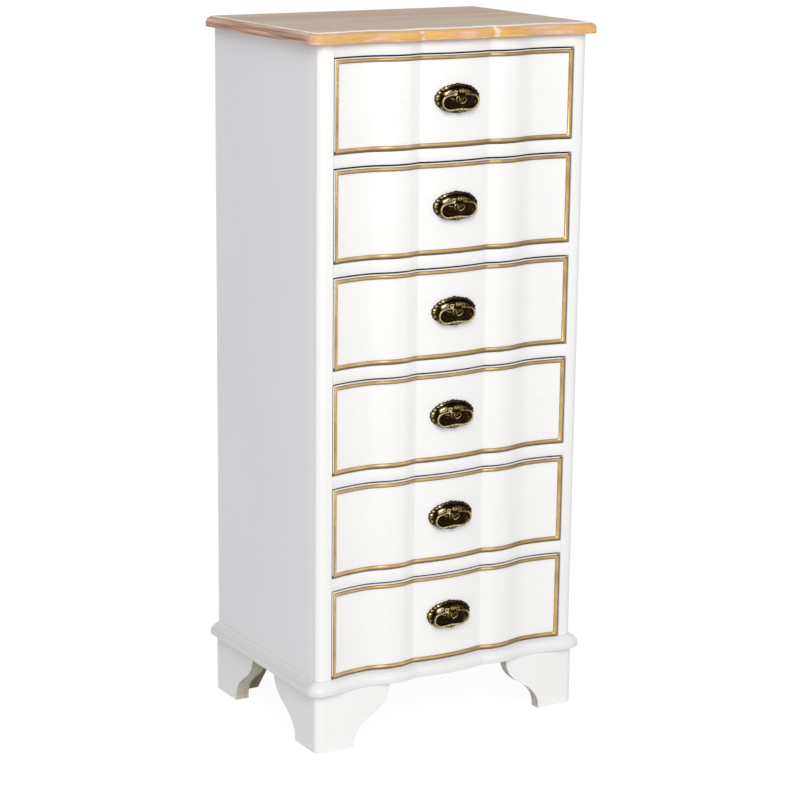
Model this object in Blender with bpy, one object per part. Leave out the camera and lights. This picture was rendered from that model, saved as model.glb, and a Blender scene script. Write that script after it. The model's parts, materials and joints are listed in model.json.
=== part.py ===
"""A six-drawer chiffonier: a narrow chest with a serpentine front, bracket feet and swing handles.

Metres, +Z up, the front looks along -Y. The origin is on the floor, under the middle of the whole object.
"""

from math import cos, pi, radians, sin

import bmesh
import bpy
from mathutils import Matrix, Vector
from mathutils.geometry import interpolate_bezier

# Gap between pieces that touch
FIT = 0.0003

# Case
TOTAL_HEIGHT = 1.100
CASE_WIDTH = 0.469
CASE_DEPTH = 0.334
PANEL_THICKNESS = 0.016
POST_WIDTH = 0.024
POST_DEPTH = 0.030
POST_ROUNDING = 0.012
BACK_THICKNESS = 0.005
BACK_REBATE = 0.008
RAIL_HEIGHT = 0.0195
RAIL_DEPTH = 0.060
DUST_BOARD_THICKNESS = 0.010

# Serpentine line of the front, as distances from the middle and depths behind the posts
CREASE_X = 0.060
RIDGE_X = 0.097
HOLLOW_X = 0.147
CREASE_DEPTH = 0.0056
HOLLOW_DEPTH = 0.0092

# Top board and its moulded edge
TOP_THICKNESS = 0.0165
TOP_SIDE_OVERHANG = 0.0155
TOP_FRONT_OVERHANG = 0.0116
TOP_CORNER_RADIUS = 0.020
TOP_FILLET_WIDTH = 0.0022
TOP_QUIRK_DEPTH = 0.0014
TOP_ROUND_WIDTH = 0.0070
TOP_ROUND_HEIGHT = 0.0075
TOP_UNDERCUT = 0.0015
TOP_UNDERCUT_HEIGHT = 0.0020

# Base board and its moulded edge
BASE_THICKNESS = 0.020
BASE_SIDE_OVERHANG = 0.0150
BASE_FRONT_OVERHANG = 0.0130
BASE_CORNER_RADIUS = 0.028
BASE_LEDGE_WIDTH = 0.0020
BASE_SLOPE_WIDTH = 0.0120
BASE_SLOPE_HEIGHT = 0.0105
BASE_ROUNDING = 0.0022

# Bracket feet
FOOT_HEIGHT = 0.0955
FOOT_OUTSET = 0.003
FOOT_CORNER_RADIUS = 0.012
BRACKET_LENGTH = 0.129
FRONT_SIDE_LENGTH = 0.140
BRACKET_THICKNESS = 0.023
TOE_WIDTH = 0.0655
SIDE_TOE_WIDTH = 0.0695
TOE_RISE = 0.005
TIP_HEIGHT = 0.0055
OGEE_TURN = radians(45)
GLUE_BLOCK_SIZE = 0.030
GLUE_BLOCK_LIFT = 0.005

# Drawers
DRAWER_COUNT = 6
DRAWER_GAP = 0.0015
GAP_ABOVE = 0.0021
GAP_BELOW = 0.0010
FRONT_THICKNESS = 0.024
BOX_THICKNESS = 0.012
BOX_HEADROOM = 0.020
BOX_BACK_ROOM = 0.012
BOTTOM_THICKNESS = 0.004
GROOVE_DEPTH = 0.005
GROOVE_LIFT = 0.008
BEAD_MARGIN = 0.0016
BEAD_WIDTH = 0.006
BEAD_HEIGHT = 0.0028

# Handles
PLATE_WIDTH = 0.0795
PLATE_HEIGHT = 0.044
PLATE_RISE = 0.0025
PLATE_EDGE = 0.0016
RIM_HEIGHT = 0.0040
RIM_WIDTH = 0.0055
RIM_ROUNDING = 0.0014
FIELD_HEIGHT = 0.0020
SCALLOP_DEPTH = 0.0012
SCALLOP_COUNT = 12
FINIAL_HEIGHT = 0.0022
KNUCKLE_RADIUS = 0.0034
KNUCKLE_LENGTH = 0.008
KNUCKLE_RISE = 0.0118
NECK_WIDTH = 0.006
NECK_HEIGHT = 0.0050
PIVOT_STANDOFF = 0.0095
PIN_RADIUS = 0.0014
PIN_CLEARANCE = 0.0004
PIN_END_GAP = 0.0010
BAIL_RADIUS = 0.0019
BAIL_SHOULDER = 0.0025
BAIL_WIDTH = 0.0605
BAIL_DROP = 0.0278
HANDLE_REACH = 0.016
GRIP_SWELL = 0.0010
SHOULDER_SWELL = 0.0006
GRIP_SHARE = 0.91

# The bail's line round one lobe: shares of the way out to the side and of the drop
BAIL_ROUTE = (
    (0.00, 0.03),
    (0.18, 0.19),
    (0.56, 0.22),
    (0.86, 0.32),
    (1.00, 0.54),
    (0.93, 0.78),
    (0.62, 0.97),
    (0.22, 0.98),
)

# Swell of the beads along the grip, in shares, from the end of a lobe to the middle
GRIP_BEADS = (0.0, 0.0, 0.7, 0.1, 1.0)

# Places that follow from the sizes
CASE_HALF = CASE_WIDTH / 2
OPENING_HALF = CASE_HALF - POST_WIDTH
BACK_Y = (CASE_DEPTH + HANDLE_REACH) / 2
FACE_Y = BACK_Y - CASE_DEPTH
BASE_TOP = FOOT_HEIGHT + BASE_THICKNESS
TOP_UNDERSIDE = TOTAL_HEIGHT - TOP_THICKNESS
OPENING_HEIGHT = (TOP_UNDERSIDE - BASE_TOP - DRAWER_COUNT * RAIL_HEIGHT) / DRAWER_COUNT
DRAWER_PITCH = OPENING_HEIGHT + RAIL_HEIGHT
INNER_BACK_Y = BACK_Y - BACK_THICKNESS
FRONT_HIGH = OPENING_HEIGHT / 2 - GAP_ABOVE
FRONT_LOW = GAP_BELOW - OPENING_HEIGHT / 2
BOX_HALF = OPENING_HALF - DRAWER_GAP
BOX_END = CASE_DEPTH - BACK_THICKNESS - BOX_BACK_ROOM
BOX_BOTTOM = FIT - OPENING_HEIGHT / 2
BOX_TOP = OPENING_HEIGHT / 2 - BOX_HEADROOM
GROOVE_BOTTOM = BOX_BOTTOM + GROOVE_LIFT
GROOVE_TOP = GROOVE_BOTTOM + BOTTOM_THICKNESS + 2 * FIT
BORE_RADIUS = PIN_RADIUS + PIN_CLEARANCE


def clear_scene():
    for thing in list(bpy.data.objects):
        bpy.data.objects.remove(thing, do_unlink=True)


def material(name, colour, roughness, metallic=0.0):
    made = bpy.data.materials.new(name)
    made.use_nodes = True
    shader = made.node_tree.nodes["Principled BSDF"]
    shader.inputs["Base Color"].default_value = (*colour, 1.0)
    shader.inputs["Roughness"].default_value = roughness
    shader.inputs["Metallic"].default_value = metallic
    return made


def empty(name, location):
    """An anchor that carries the pieces of one body."""
    anchor = bpy.data.objects.new(name, None)
    anchor.location = location
    bpy.context.scene.collection.objects.link(anchor)
    return anchor


def place(name, data, parent, *materials, location=(0.0, 0.0, 0.0)):
    """A named piece on its parent. Copies may share a mesh, which takes its materials once."""
    piece = bpy.data.objects.new(name, data)
    bpy.context.scene.collection.objects.link(piece)
    piece.parent = parent
    piece.location = location
    if not data.materials:
        for one in materials:
            data.materials.append(one)
    return piece


def mesh_from(bm, name):
    bmesh.ops.recalc_face_normals(bm, faces=bm.faces)
    mesh = bpy.data.meshes.new(name)
    bm.to_mesh(mesh)
    bm.free()
    mesh.shade_smooth()
    mesh.set_sharp_from_angle(angle=radians(35))
    return mesh


def vertices_of(geometry):
    return [part for part in geometry if isinstance(part, bmesh.types.BMVert)]


def extruded(outline, along):
    """A closed solid from a flat outline of 3-D points, pushed along a vector."""
    bm = bmesh.new()
    face = bm.faces.new([bm.verts.new(point) for point in outline])
    pushed = bmesh.ops.extrude_face_region(bm, geom=[face])["geom"]
    bmesh.ops.translate(bm, verts=vertices_of(pushed), vec=along)
    bmesh.ops.recalc_face_normals(bm, faces=bm.faces)
    return bm


def block(x_span, y_span, z_span):
    (x0, x1), (y0, y1), (z0, z1) = x_span, y_span, z_span
    return extruded([(x0, y0, z0), (x1, y0, z0), (x1, y1, z0), (x0, y1, z0)], (0, 0, z1 - z0))


def skin(bm, first, second):
    """Quads between two closed loops of as many vertices."""
    pairs = list(zip(first, second))
    return [bm.faces.new((a, c, d, b)) for (a, b), (c, d) in zip(pairs, pairs[1:] + pairs[:1])]


def loft(rings):
    """A closed solid through rings of as many points, with its first and last left open."""
    bm = bmesh.new()
    loops = [[bm.verts.new(point) for point in ring] for ring in rings]
    for first, second in zip(loops, loops[1:]):
        skin(bm, first, second)
    return bm, loops[0], loops[-1]


def upright_strips(bm, loop):
    """Fills an oval loop that starts at its top with upright strips, which follow a curved front."""
    half = len(loop) // 2
    for k in range(-half // 2, half // 2):
        corners = [loop[k], loop[k + 1], loop[half - k - 1], loop[(half - k) % len(loop)]]
        bm.faces.new(list(dict.fromkeys(corners)))


def carve(mesh, steps):
    """The mesh after exact Booleans with other meshes, given as (operation, bmesh) pairs."""
    body = bpy.data.objects.new("body", mesh)
    bpy.context.scene.collection.objects.link(body)
    tools = []
    for operation, bm in steps:
        tool = bpy.data.objects.new("tool", mesh_from(bm, "tool"))
        tool.hide_render = True
        tool.display_type = "WIRE"
        bpy.context.scene.collection.objects.link(tool)
        modifier = body.modifiers.new(operation, "BOOLEAN")
        modifier.operation = operation
        modifier.solver = "EXACT"
        modifier.object = tool
        tools.append(tool)
    bpy.context.view_layer.update()
    graph = bpy.context.evaluated_depsgraph_get()
    carved = bpy.data.meshes.new_from_object(body.evaluated_get(graph))
    for spent in [body, *tools]:
        bpy.data.objects.remove(spent, do_unlink=True)
    carved.shade_smooth()
    carved.set_sharp_from_angle(angle=radians(35))
    return carved


def front_recess(x):
    """How far the front lies behind the posts: a middle lobe, two creases, two hollows."""
    s = abs(x)
    if s < CREASE_X:
        return CREASE_DEPTH * (s / CREASE_X) ** 2
    if s < RIDGE_X:
        return CREASE_DEPTH * ((RIDGE_X - s) / (RIDGE_X - CREASE_X)) ** 2
    if s < HOLLOW_X:
        return HOLLOW_DEPTH * (1 - cos(pi * (s - RIDGE_X) / (HOLLOW_X - RIDGE_X))) / 2
    if s < OPENING_HALF:
        return HOLLOW_DEPTH * (1 - ((s - HOLLOW_X) / (OPENING_HALF - HOLLOW_X)) ** 2)
    return 0.0


def front_places(end):
    """X places from -end to end at which the front curve has its points."""
    spans = ((0.0, CREASE_X, 3), (CREASE_X, RIDGE_X, 3), (RIDGE_X, HOLLOW_X, 4), (HOLLOW_X, end, 3))
    half = [a + (b - a) * k / count for a, b, count in spans for k in range(count)] + [end]
    return [-x for x in reversed(half[1:])] + half


def arc(centre, radius, start, stop, steps):
    """Points of an arc in plan, with angles in degrees from +X."""
    angles = [radians(start + (stop - start) * k / steps) for k in range(steps + 1)]
    return [(centre[0] + radius * cos(a), centre[1] + radius * sin(a)) for a in angles]


def board_outline(half_width, front_y, radius, inset):
    """Plan of a board with a straight back, rounded front corners and the serpentine front edge."""
    corner_x = half_width - radius
    corner_y = front_y + radius
    left = arc((-corner_x, corner_y), radius - inset, 180, 270, 4)
    right = arc((corner_x, corner_y), radius - inset, 270, 360, 4)
    front = [(x, front_y + inset + front_recess(x)) for x in front_places(OPENING_HALF)]
    ends = (-(half_width - inset), BACK_Y), (half_width - inset, BACK_Y)
    return [ends[0], *left, *front, *right, ends[1]]


def moulded_board(half_width, front_y, radius, top_z, profile):
    """A board whose front and side edges follow a profile of (inset, drop) steps."""
    rings = []
    for inset, drop in profile:
        outline = board_outline(half_width, front_y, radius, inset)
        rings.append([(x, y, top_z - drop) for x, y in outline])
    bm, upper, lower = loft(rings)
    bm.faces.new(upper)
    bm.faces.new(lower)
    return bm


def quarter(steps):
    """Angles of a quarter turn, from its first to its last."""
    return [pi / 2 * k / steps for k in range(steps + 1)]


def top_profile():
    """From the arris down: a small fillet, a quirk, a quarter round, a flat nose and a slight undercut."""
    arris = TOP_FILLET_WIDTH + TOP_ROUND_WIDTH
    steps = [(arris, 0.0), (TOP_ROUND_WIDTH, TOP_QUIRK_DEPTH / 2)]
    for a in quarter(4):
        drop = TOP_QUIRK_DEPTH + TOP_ROUND_HEIGHT * (1 - cos(a))
        steps.append((TOP_ROUND_WIDTH * (1 - sin(a)), drop))
    return [*steps, (0.0, TOP_THICKNESS - TOP_UNDERCUT_HEIGHT), (TOP_UNDERCUT, TOP_THICKNESS)]


def base_profile():
    """From the case out: a small ledge, a slope, a rounded nose, and a flat underside on the feet."""
    ledge = BASE_SLOPE_WIDTH + BASE_LEDGE_WIDTH
    soft = BASE_ROUNDING / 2
    return [
        (ledge, 0.0),
        (BASE_SLOPE_WIDTH, BASE_LEDGE_WIDTH / 2),
        (BASE_ROUNDING, BASE_SLOPE_HEIGHT - soft),
        (soft / 2, BASE_SLOPE_HEIGHT + soft),
        (0.0, BASE_SLOPE_HEIGHT + BASE_ROUNDING),
        (0.0, BASE_THICKNESS - soft),
        (soft, BASE_THICKNESS),
    ]


def make_top(parent, wood):
    half_width = CASE_HALF + TOP_SIDE_OVERHANG
    front_y = FACE_Y - TOP_FRONT_OVERHANG
    bm = moulded_board(half_width, front_y, TOP_CORNER_RADIUS, TOTAL_HEIGHT, top_profile())
    place("top", mesh_from(bm, "top"), parent, wood)


def make_base(parent, paint):
    half_width = CASE_HALF + BASE_SIDE_OVERHANG
    front_y = FACE_Y - BASE_FRONT_OVERHANG
    bm = moulded_board(half_width, front_y, BASE_CORNER_RADIUS, BASE_TOP, base_profile())
    place("base_board", mesh_from(bm, "base_board"), parent, paint)


def make_side_panel(name, side, parent, paint):
    """A board behind the post, with a rebate at its rear edge for the back."""
    outer = side * CASE_HALF
    inner = side * (CASE_HALF - PANEL_THICKNESS)
    rebate_x = side * (CASE_HALF - PANEL_THICKNESS + BACK_REBATE)
    front = FACE_Y + POST_DEPTH + FIT
    rebate_y = INNER_BACK_Y - FIT
    plan = [
        (outer, front),
        (outer, BACK_Y),
        (rebate_x, BACK_Y),
        (rebate_x, rebate_y),
        (inner, rebate_y),
        (inner, front),
    ]
    bottom = BASE_TOP + FIT
    bm = extruded([(x, y, bottom) for x, y in plan], (0, 0, TOP_UNDERSIDE - FIT - bottom))
    place(name, mesh_from(bm, name), parent, paint)


def make_post(name, side, parent, paint):
    """A corner post with its outer front edge rounded."""
    spans = sorted((side * CASE_HALF, side * OPENING_HALF))
    bm = block(spans, (FACE_Y, FACE_Y + POST_DEPTH), (BASE_TOP + FIT, TOP_UNDERSIDE - FIT))
    corner = Vector((side * CASE_HALF, FACE_Y))
    outer = [e for e in bm.edges if all((v.co.xy - corner).length < FIT for v in e.verts)]
    bmesh.ops.bevel(bm, geom=outer, offset=POST_ROUNDING, segments=5, profile=0.5, affect="EDGES")
    place(name, mesh_from(bm, name), parent, paint)


def make_back(parent, board):
    half = CASE_HALF - PANEL_THICKNESS + BACK_REBATE - FIT
    bm = block((-half, half), (INNER_BACK_Y, BACK_Y), (BASE_TOP + FIT, TOP_UNDERSIDE - FIT))
    place("back_panel", mesh_from(bm, "back_panel"), parent, board)


def rail_front_edge():
    return [(x, FACE_Y + front_recess(x)) for x in front_places(OPENING_HALF - FIT)]


def make_top_rail(parent, paint):
    """The serpentine rail between the posts, right under the top."""
    end = OPENING_HALF - FIT
    plan = [*rail_front_edge(), (end, FACE_Y + RAIL_DEPTH), (-end, FACE_Y + RAIL_DEPTH)]
    bottom = TOP_UNDERSIDE - RAIL_HEIGHT
    bm = extruded([(x, y, bottom) for x, y in plan], (0, 0, RAIL_HEIGHT - FIT))
    place("top_rail", mesh_from(bm, "top_rail"), parent, paint)


def make_divider(name, top_z, parent, paint):
    """A serpentine rail and, flush with its upper face, the dust board that the drawer above slides on."""
    narrow = OPENING_HALF - FIT
    wide = CASE_HALF - PANEL_THICKNESS - FIT
    notch = FACE_Y + POST_DEPTH + FIT
    split = FACE_Y + RAIL_DEPTH
    back = INNER_BACK_Y - FIT
    bm = bmesh.new()
    right = [(narrow, notch), (wide, notch), (wide, split)]
    left = [(-x, y) for x, y in reversed(right)]
    rail = [bm.verts.new((x, y, top_z)) for x, y in [*rail_front_edge(), *right, *left]]
    rear = [bm.verts.new((x, back, top_z)) for x in (wide, -wide)]
    rail_face = bm.faces.new(rail)
    board_face = bm.faces.new([rail[-len(left) - 1], *rear, rail[-len(left)]])
    pushed = bmesh.ops.extrude_face_region(bm, geom=[rail_face, board_face])["geom"]
    bmesh.ops.translate(bm, verts=vertices_of(pushed), vec=(0, 0, -DUST_BOARD_THICKNESS))
    rail_under = max((f for f in pushed if isinstance(f, bmesh.types.BMFace)), key=lambda f: len(f.verts))
    pushed = bmesh.ops.extrude_discrete_faces(bm, faces=[rail_under])["faces"]
    bmesh.ops.translate(bm, verts=pushed[0].verts, vec=(0, 0, DUST_BOARD_THICKNESS - RAIL_HEIGHT))
    place(name, mesh_from(bm, name), parent, paint)


def ogee(width, height):
    """The S curve under a bracket, from the toe upright to the tip upright, as (out, up) points."""
    steps = [OGEE_TURN * k / 4 for k in range(5)]
    lower = [(1 - cos(t), sin(t)) for t in steps]
    full = 2 * lower[-1][0], 2 * lower[-1][1]
    upper = [(full[0] - x, full[1] - z) for x, z in reversed(lower[:-1])]
    return [(width * x / full[0], height * z / full[1]) for x, z in lower + upper]


def bracket_cut(toe_width, length):
    """What is sawn from under a bracket, as (distance from the foot's corner, height) points."""
    beyond = length + toe_width
    below = -TOE_RISE
    above = FOOT_HEIGHT + TOE_RISE
    curve = ogee(length - toe_width, FOOT_HEIGHT - TOE_RISE - TIP_HEIGHT)
    points = [(toe_width + x, TOE_RISE + z) for x, z in curve]
    return [(toe_width, below), *points, (length, above), (beyond, above), (beyond, below)]


def foot_plan(curved, side_length):
    """Plan of a left foot, with its outer corner at the front left: two brackets that meet at a mitre."""
    reach = BRACKET_LENGTH + TOE_RISE
    corner_x = -(CASE_HALF + FOOT_OUTSET)
    radius = FOOT_CORNER_RADIUS if curved else 0.0
    if curved:
        corner_y = FACE_Y - FOOT_OUTSET
        rounded = arc((corner_x + radius, corner_y + radius), radius, 180, 270, 4)
        places = [x for x in front_places(OPENING_HALF) if corner_x + radius < x < corner_x + reach]
        face = [(x, corner_y + front_recess(x)) for x in [*places, corner_x + reach]]
    else:
        corner_y = BACK_Y
        rounded = [(corner_x, corner_y)]
        face = [(corner_x + reach, corner_y)]
    inward = 1 if curved else -1
    near = corner_y + inward * BRACKET_THICKNESS
    inner_x = corner_x + BRACKET_THICKNESS
    far = corner_y + inward * (side_length + TOE_RISE)
    return [(corner_x, far), *rounded, *face, (corner_x + reach, near), (inner_x, near), (inner_x, far)]


def foot_mesh(name, curved):
    """A left foot: mitred brackets with ogee undersides, and a glue block in the corner behind them."""
    side_length = FRONT_SIDE_LENGTH if curved else BRACKET_LENGTH
    plan = foot_plan(curved, side_length)
    body = mesh_from(extruded([(x, y, 0.0) for x, y in plan], (0, 0, FOOT_HEIGHT - FIT)), name)
    corner_x = -(CASE_HALF + FOOT_OUTSET)
    corner_y = FACE_Y - FOOT_OUTSET if curved else BACK_Y
    inward = 1 if curved else -1
    half = TOE_WIDTH / 2
    through = half + TOE_WIDTH - FIT
    face_cut_line = bracket_cut(TOE_WIDTH, BRACKET_LENGTH)
    side_cut_line = bracket_cut(SIDE_TOE_WIDTH, side_length)
    face_line = [(corner_x + s, corner_y - inward * half, z) for s, z in face_cut_line]
    side_line = [(corner_x - half, corner_y + inward * s, z) for s, z in side_cut_line]
    face_cut = extruded(face_line, (0, inward * through, 0))
    side_cut = extruded(side_line, (through, 0, 0))
    near = BRACKET_THICKNESS - FIT
    far = BRACKET_THICKNESS + GLUE_BLOCK_SIZE
    glue_block = block(
        (corner_x + near, corner_x + far),
        sorted((corner_y + inward * near, corner_y + inward * far)),
        (GLUE_BLOCK_LIFT, FOOT_HEIGHT - FIT),
    )
    return carve(body, [("DIFFERENCE", face_cut), ("DIFFERENCE", side_cut), ("UNION", glue_block)])


def mirrored(mesh, name):
    """The mesh as its twin on the other side of the object."""
    bm = bmesh.new()
    bm.from_mesh(mesh)
    bmesh.ops.transform(bm, matrix=Matrix.Scale(-1, 4, (1, 0, 0)), verts=bm.verts)
    return mesh_from(bm, name)


def make_feet(parent, paint):
    for row, curved in (("front", True), ("back", False)):
        left = foot_mesh(f"foot_{row}_left", curved)
        right = mirrored(left, f"foot_{row}_right")
        place(f"foot_{row}_left", left, parent, paint)
        place(f"foot_{row}_right", right, parent, paint)


def front_loop(bm, inset, rise):
    """A loop round the drawer front, inset from its edge and raised from its face."""
    high = FRONT_HIGH - inset
    low = FRONT_LOW + inset
    field_end = BOX_HALF - BEAD_MARGIN - BEAD_WIDTH
    places = front_places(field_end)[1:-1]
    places = [inset - BOX_HALF, *places, BOX_HALF - inset]
    over = [bm.verts.new((x, front_recess(x) - rise, high)) for x in places]
    below = [bm.verts.new((x, front_recess(x) - rise, low)) for x in reversed(places)]
    return over + below


def drawer_front_mesh():
    """The solid serpentine front, a raised bead mitred at its corners, and a groove for the bottom."""
    bm = bmesh.new()
    bead = [(BEAD_WIDTH / 2 * (1 - cos(a)), BEAD_HEIGHT * sin(a)) for a in (0, pi / 3, 2 * pi / 3, pi)]
    edge = front_loop(bm, 0.0, 0.0)
    loops = [edge] + [front_loop(bm, BEAD_MARGIN + out, rise) for out, rise in bead]
    for number, (first, second) in enumerate(zip(loops, loops[1:])):
        for face in skin(bm, first, second):
            face.material_index = 1 if number else 0
    count = len(edge) // 2
    over, below = loops[-1][:count], loops[-1][:count - 1:-1]
    for k in range(count - 1):
        bm.faces.new((over[k], over[k + 1], below[k + 1], below[k]))
    floor = FRONT_THICKNESS - GROOVE_DEPTH
    steps = [
        (FRONT_THICKNESS, FRONT_HIGH),
        (FRONT_THICKNESS, GROOVE_TOP),
        (floor, GROOVE_TOP),
        (floor, GROOVE_BOTTOM),
        (FRONT_THICKNESS, GROOVE_BOTTOM),
        (FRONT_THICKNESS, FRONT_LOW),
    ]
    left = [bm.verts.new((-BOX_HALF, y, z)) for y, z in steps]
    right = [bm.verts.new((BOX_HALF, y, z)) for y, z in steps]
    for k in range(len(steps) - 1):
        bm.faces.new((left[k], left[k + 1], right[k + 1], right[k]))
    bm.faces.new([*edge[:count], right[0], left[0]])
    bm.faces.new([*edge[count:], left[-1], right[-1]])
    bm.faces.new([edge[0], *left, edge[-1]])
    bm.faces.new([edge[count - 1], *right, edge[count]])
    return mesh_from(bm, "drawer_front")


def drawer_side_mesh(side):
    """A box side with a groove for the bottom along its inner face."""
    outer = side * BOX_HALF
    inner = side * (BOX_HALF - BOX_THICKNESS)
    floor = side * (BOX_HALF - BOX_THICKNESS + GROOVE_DEPTH)
    section = [
        (outer, BOX_BOTTOM),
        (inner, BOX_BOTTOM),
        (inner, GROOVE_BOTTOM),
        (floor, GROOVE_BOTTOM),
        (floor, GROOVE_TOP),
        (inner, GROOVE_TOP),
        (inner, BOX_TOP),
        (outer, BOX_TOP),
    ]
    start = FRONT_THICKNESS + FIT
    bm = extruded([(x, start, z) for x, z in section], (0, BOX_END - start, 0))
    return mesh_from(bm, "drawer_side")


def drawer_back_mesh():
    half = BOX_HALF - BOX_THICKNESS - FIT
    bm = block((-half, half), (BOX_END - BOX_THICKNESS, BOX_END), (GROOVE_TOP, BOX_TOP))
    return mesh_from(bm, "drawer_back")


def drawer_bottom_mesh():
    half = BOX_HALF - BOX_THICKNESS + GROOVE_DEPTH - FIT
    start = FRONT_THICKNESS - GROOVE_DEPTH + FIT
    lower = GROOVE_BOTTOM + FIT
    bm = block((-half, half), (start, BOX_END), (lower, lower + BOTTOM_THICKNESS))
    return mesh_from(bm, "drawer_bottom")


def plate_loop(inset, rise):
    """A scalloped oval with a small finial at the top, laid on the curve of the drawer front."""
    count = 3 * SCALLOP_COUNT
    points = []
    for k in range(count):
        turn = 2 * pi * k / count
        wave = SCALLOP_DEPTH * (1 - cos(SCALLOP_COUNT * turn)) / 2
        steps_from_top = min(k, count - k)
        finial = FINIAL_HEIGHT * max(0.0, 1 - steps_from_top / 2)
        shrink = inset + wave - finial
        x = (PLATE_WIDTH / 2 - shrink) * sin(turn)
        z = (PLATE_HEIGHT / 2 - shrink) * cos(turn)
        points.append((x, front_recess(x) - FIT - rise, PLATE_RISE + z))
    return points


def plate_mesh():
    """A cast plate: a raised scalloped rim round a lower field, and the bored knuckle of the bail."""
    rings = [
        plate_loop(0.0, 0.0),
        plate_loop(0.0, PLATE_EDGE),
        plate_loop(RIM_ROUNDING, RIM_HEIGHT),
        plate_loop(RIM_WIDTH, RIM_HEIGHT),
        plate_loop(RIM_WIDTH + RIM_ROUNDING, FIELD_HEIGHT),
    ]
    bm, behind, field = loft(rings)
    upright_strips(bm, behind)
    upright_strips(bm, field)
    plate = mesh_from(bm, "handle_plate")
    pivot_y = -FIT - PIVOT_STANDOFF
    pivot_z = PLATE_RISE + KNUCKLE_RISE
    neck = block(
        (-NECK_WIDTH / 2, NECK_WIDTH / 2),
        (pivot_y, -FIT - FIELD_HEIGHT / 2),
        (pivot_z - NECK_HEIGHT / 2, pivot_z + NECK_HEIGHT / 2),
    )
    barrel = round_bar(KNUCKLE_RADIUS, KNUCKLE_LENGTH, (0, pivot_y, pivot_z))
    bore = round_bar(BORE_RADIUS, 2 * KNUCKLE_LENGTH, (0, pivot_y, pivot_z))
    return carve(plate, [("UNION", neck), ("UNION", barrel), ("DIFFERENCE", bore)])


def round_bar(radius, length, centre):
    """A twelve-sided bar along X."""
    bm = bmesh.new()
    turned = Matrix.Translation(centre) @ Matrix.Rotation(pi / 2, 4, "Y")
    sizes = {"radius1": radius, "radius2": radius, "depth": length}
    bmesh.ops.create_cone(bm, cap_ends=True, segments=12, matrix=turned, **sizes)
    return bm


def bail_half():
    """Right half of the bail, from the pin to the middle of the grip, as (point, radius) pairs."""
    shoulder = KNUCKLE_LENGTH / 2 + BAIL_SHOULDER
    span = BAIL_WIDTH / 2 - shoulder
    grip_out = HANDLE_REACH - FIT - PIVOT_STANDOFF - BAIL_RADIUS - GRIP_SWELL
    points = [Vector((shoulder + a * span, -grip_out * b, -b * BAIL_DROP)) for a, b in BAIL_ROUTE]
    points.append(Vector((0.0, -grip_out, -BAIL_DROP * GRIP_SHARE)))
    mirror_point = points[-2] * Vector((-1, 1, 1))
    ends = [Vector((PIN_END_GAP, 0, 0)), *points, mirror_point]
    smooth = [(points[0], BAIL_RADIUS + SHOULDER_SWELL)]
    for before, start, stop, after in zip(ends, ends[1:], ends[2:], ends[3:]):
        first = start + (stop - before) / 6
        second = stop - (after - start) / 6
        beads = GRIP_BEADS if stop == points[-1] else (0.0, 0.0)
        curve = interpolate_bezier(start, first, second, stop, len(beads) + 1)[1:]
        smooth += [(point, BAIL_RADIUS + GRIP_SWELL * bead) for point, bead in zip(curve, beads)]
    pin_start = Vector((PIN_END_GAP / 2, 0, 0))
    pin_end = Vector((KNUCKLE_LENGTH / 2 + FIT, 0, 0))
    return [(pin_start, PIN_RADIUS), (pin_end, PIN_RADIUS), *smooth]


def bail_curve():
    """The swing bail, one bent bar whose two pin ends face each other in the knuckle."""
    right = bail_half()
    left = [(point * Vector((-1, 1, 1)), radius) for point, radius in reversed(right[:-1])]
    curve = bpy.data.curves.new("bail", "CURVE")
    curve.dimensions = "3D"
    curve.bevel_depth = BAIL_RADIUS
    curve.bevel_resolution = 2
    curve.use_fill_caps = True
    spline = curve.splines.new("POLY")
    spline.points.add(len(right) + len(left) - 1)
    for knot, (point, radius) in zip(spline.points, right + left):
        knot.co = (*point, 1.0)
        knot.radius = radius / BAIL_RADIUS
    return curve


def make_drawers(paint, gilt, box_wood, ply, brass):
    front = drawer_front_mesh()
    sides = {"left": drawer_side_mesh(-1), "right": drawer_side_mesh(1)}
    back = drawer_back_mesh()
    bottom = drawer_bottom_mesh()
    plate = plate_mesh()
    bail = bail_curve()
    for number in range(1, DRAWER_COUNT + 1):
        centre = TOP_UNDERSIDE - RAIL_HEIGHT - OPENING_HEIGHT / 2 - (number - 1) * DRAWER_PITCH
        anchor = empty(f"drawer_{number}", (0, FACE_Y, centre))
        place(f"drawer_{number}_front", front, anchor, paint, gilt)
        place(f"drawer_{number}_side_left", sides["left"], anchor, box_wood)
        place(f"drawer_{number}_side_right", sides["right"], anchor, box_wood)
        place(f"drawer_{number}_back", back, anchor, box_wood)
        place(f"drawer_{number}_bottom", bottom, anchor, ply)
        place(f"drawer_{number}_handle_plate", plate, anchor, brass)
        pivot = (0, -FIT - PIVOT_STANDOFF, PLATE_RISE + KNUCKLE_RISE)
        place(f"drawer_{number}_bail", bail, anchor, brass, location=pivot)


def make_case(paint, wood, board):
    carcass = empty("carcass", (0, 0, 0))
    make_top(carcass, wood)
    make_base(carcass, paint)
    for word, side in (("left", -1), ("right", 1)):
        make_side_panel(f"side_panel_{word}", side, carcass, paint)
        make_post(f"front_post_{word}", side, carcass, paint)
    make_back(carcass, board)
    make_top_rail(carcass, paint)
    for number in range(1, DRAWER_COUNT):
        top_z = TOP_UNDERSIDE - number * DRAWER_PITCH
        make_divider(f"divider_{number}", top_z, carcass, paint)
    make_feet(carcass, paint)


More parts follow.
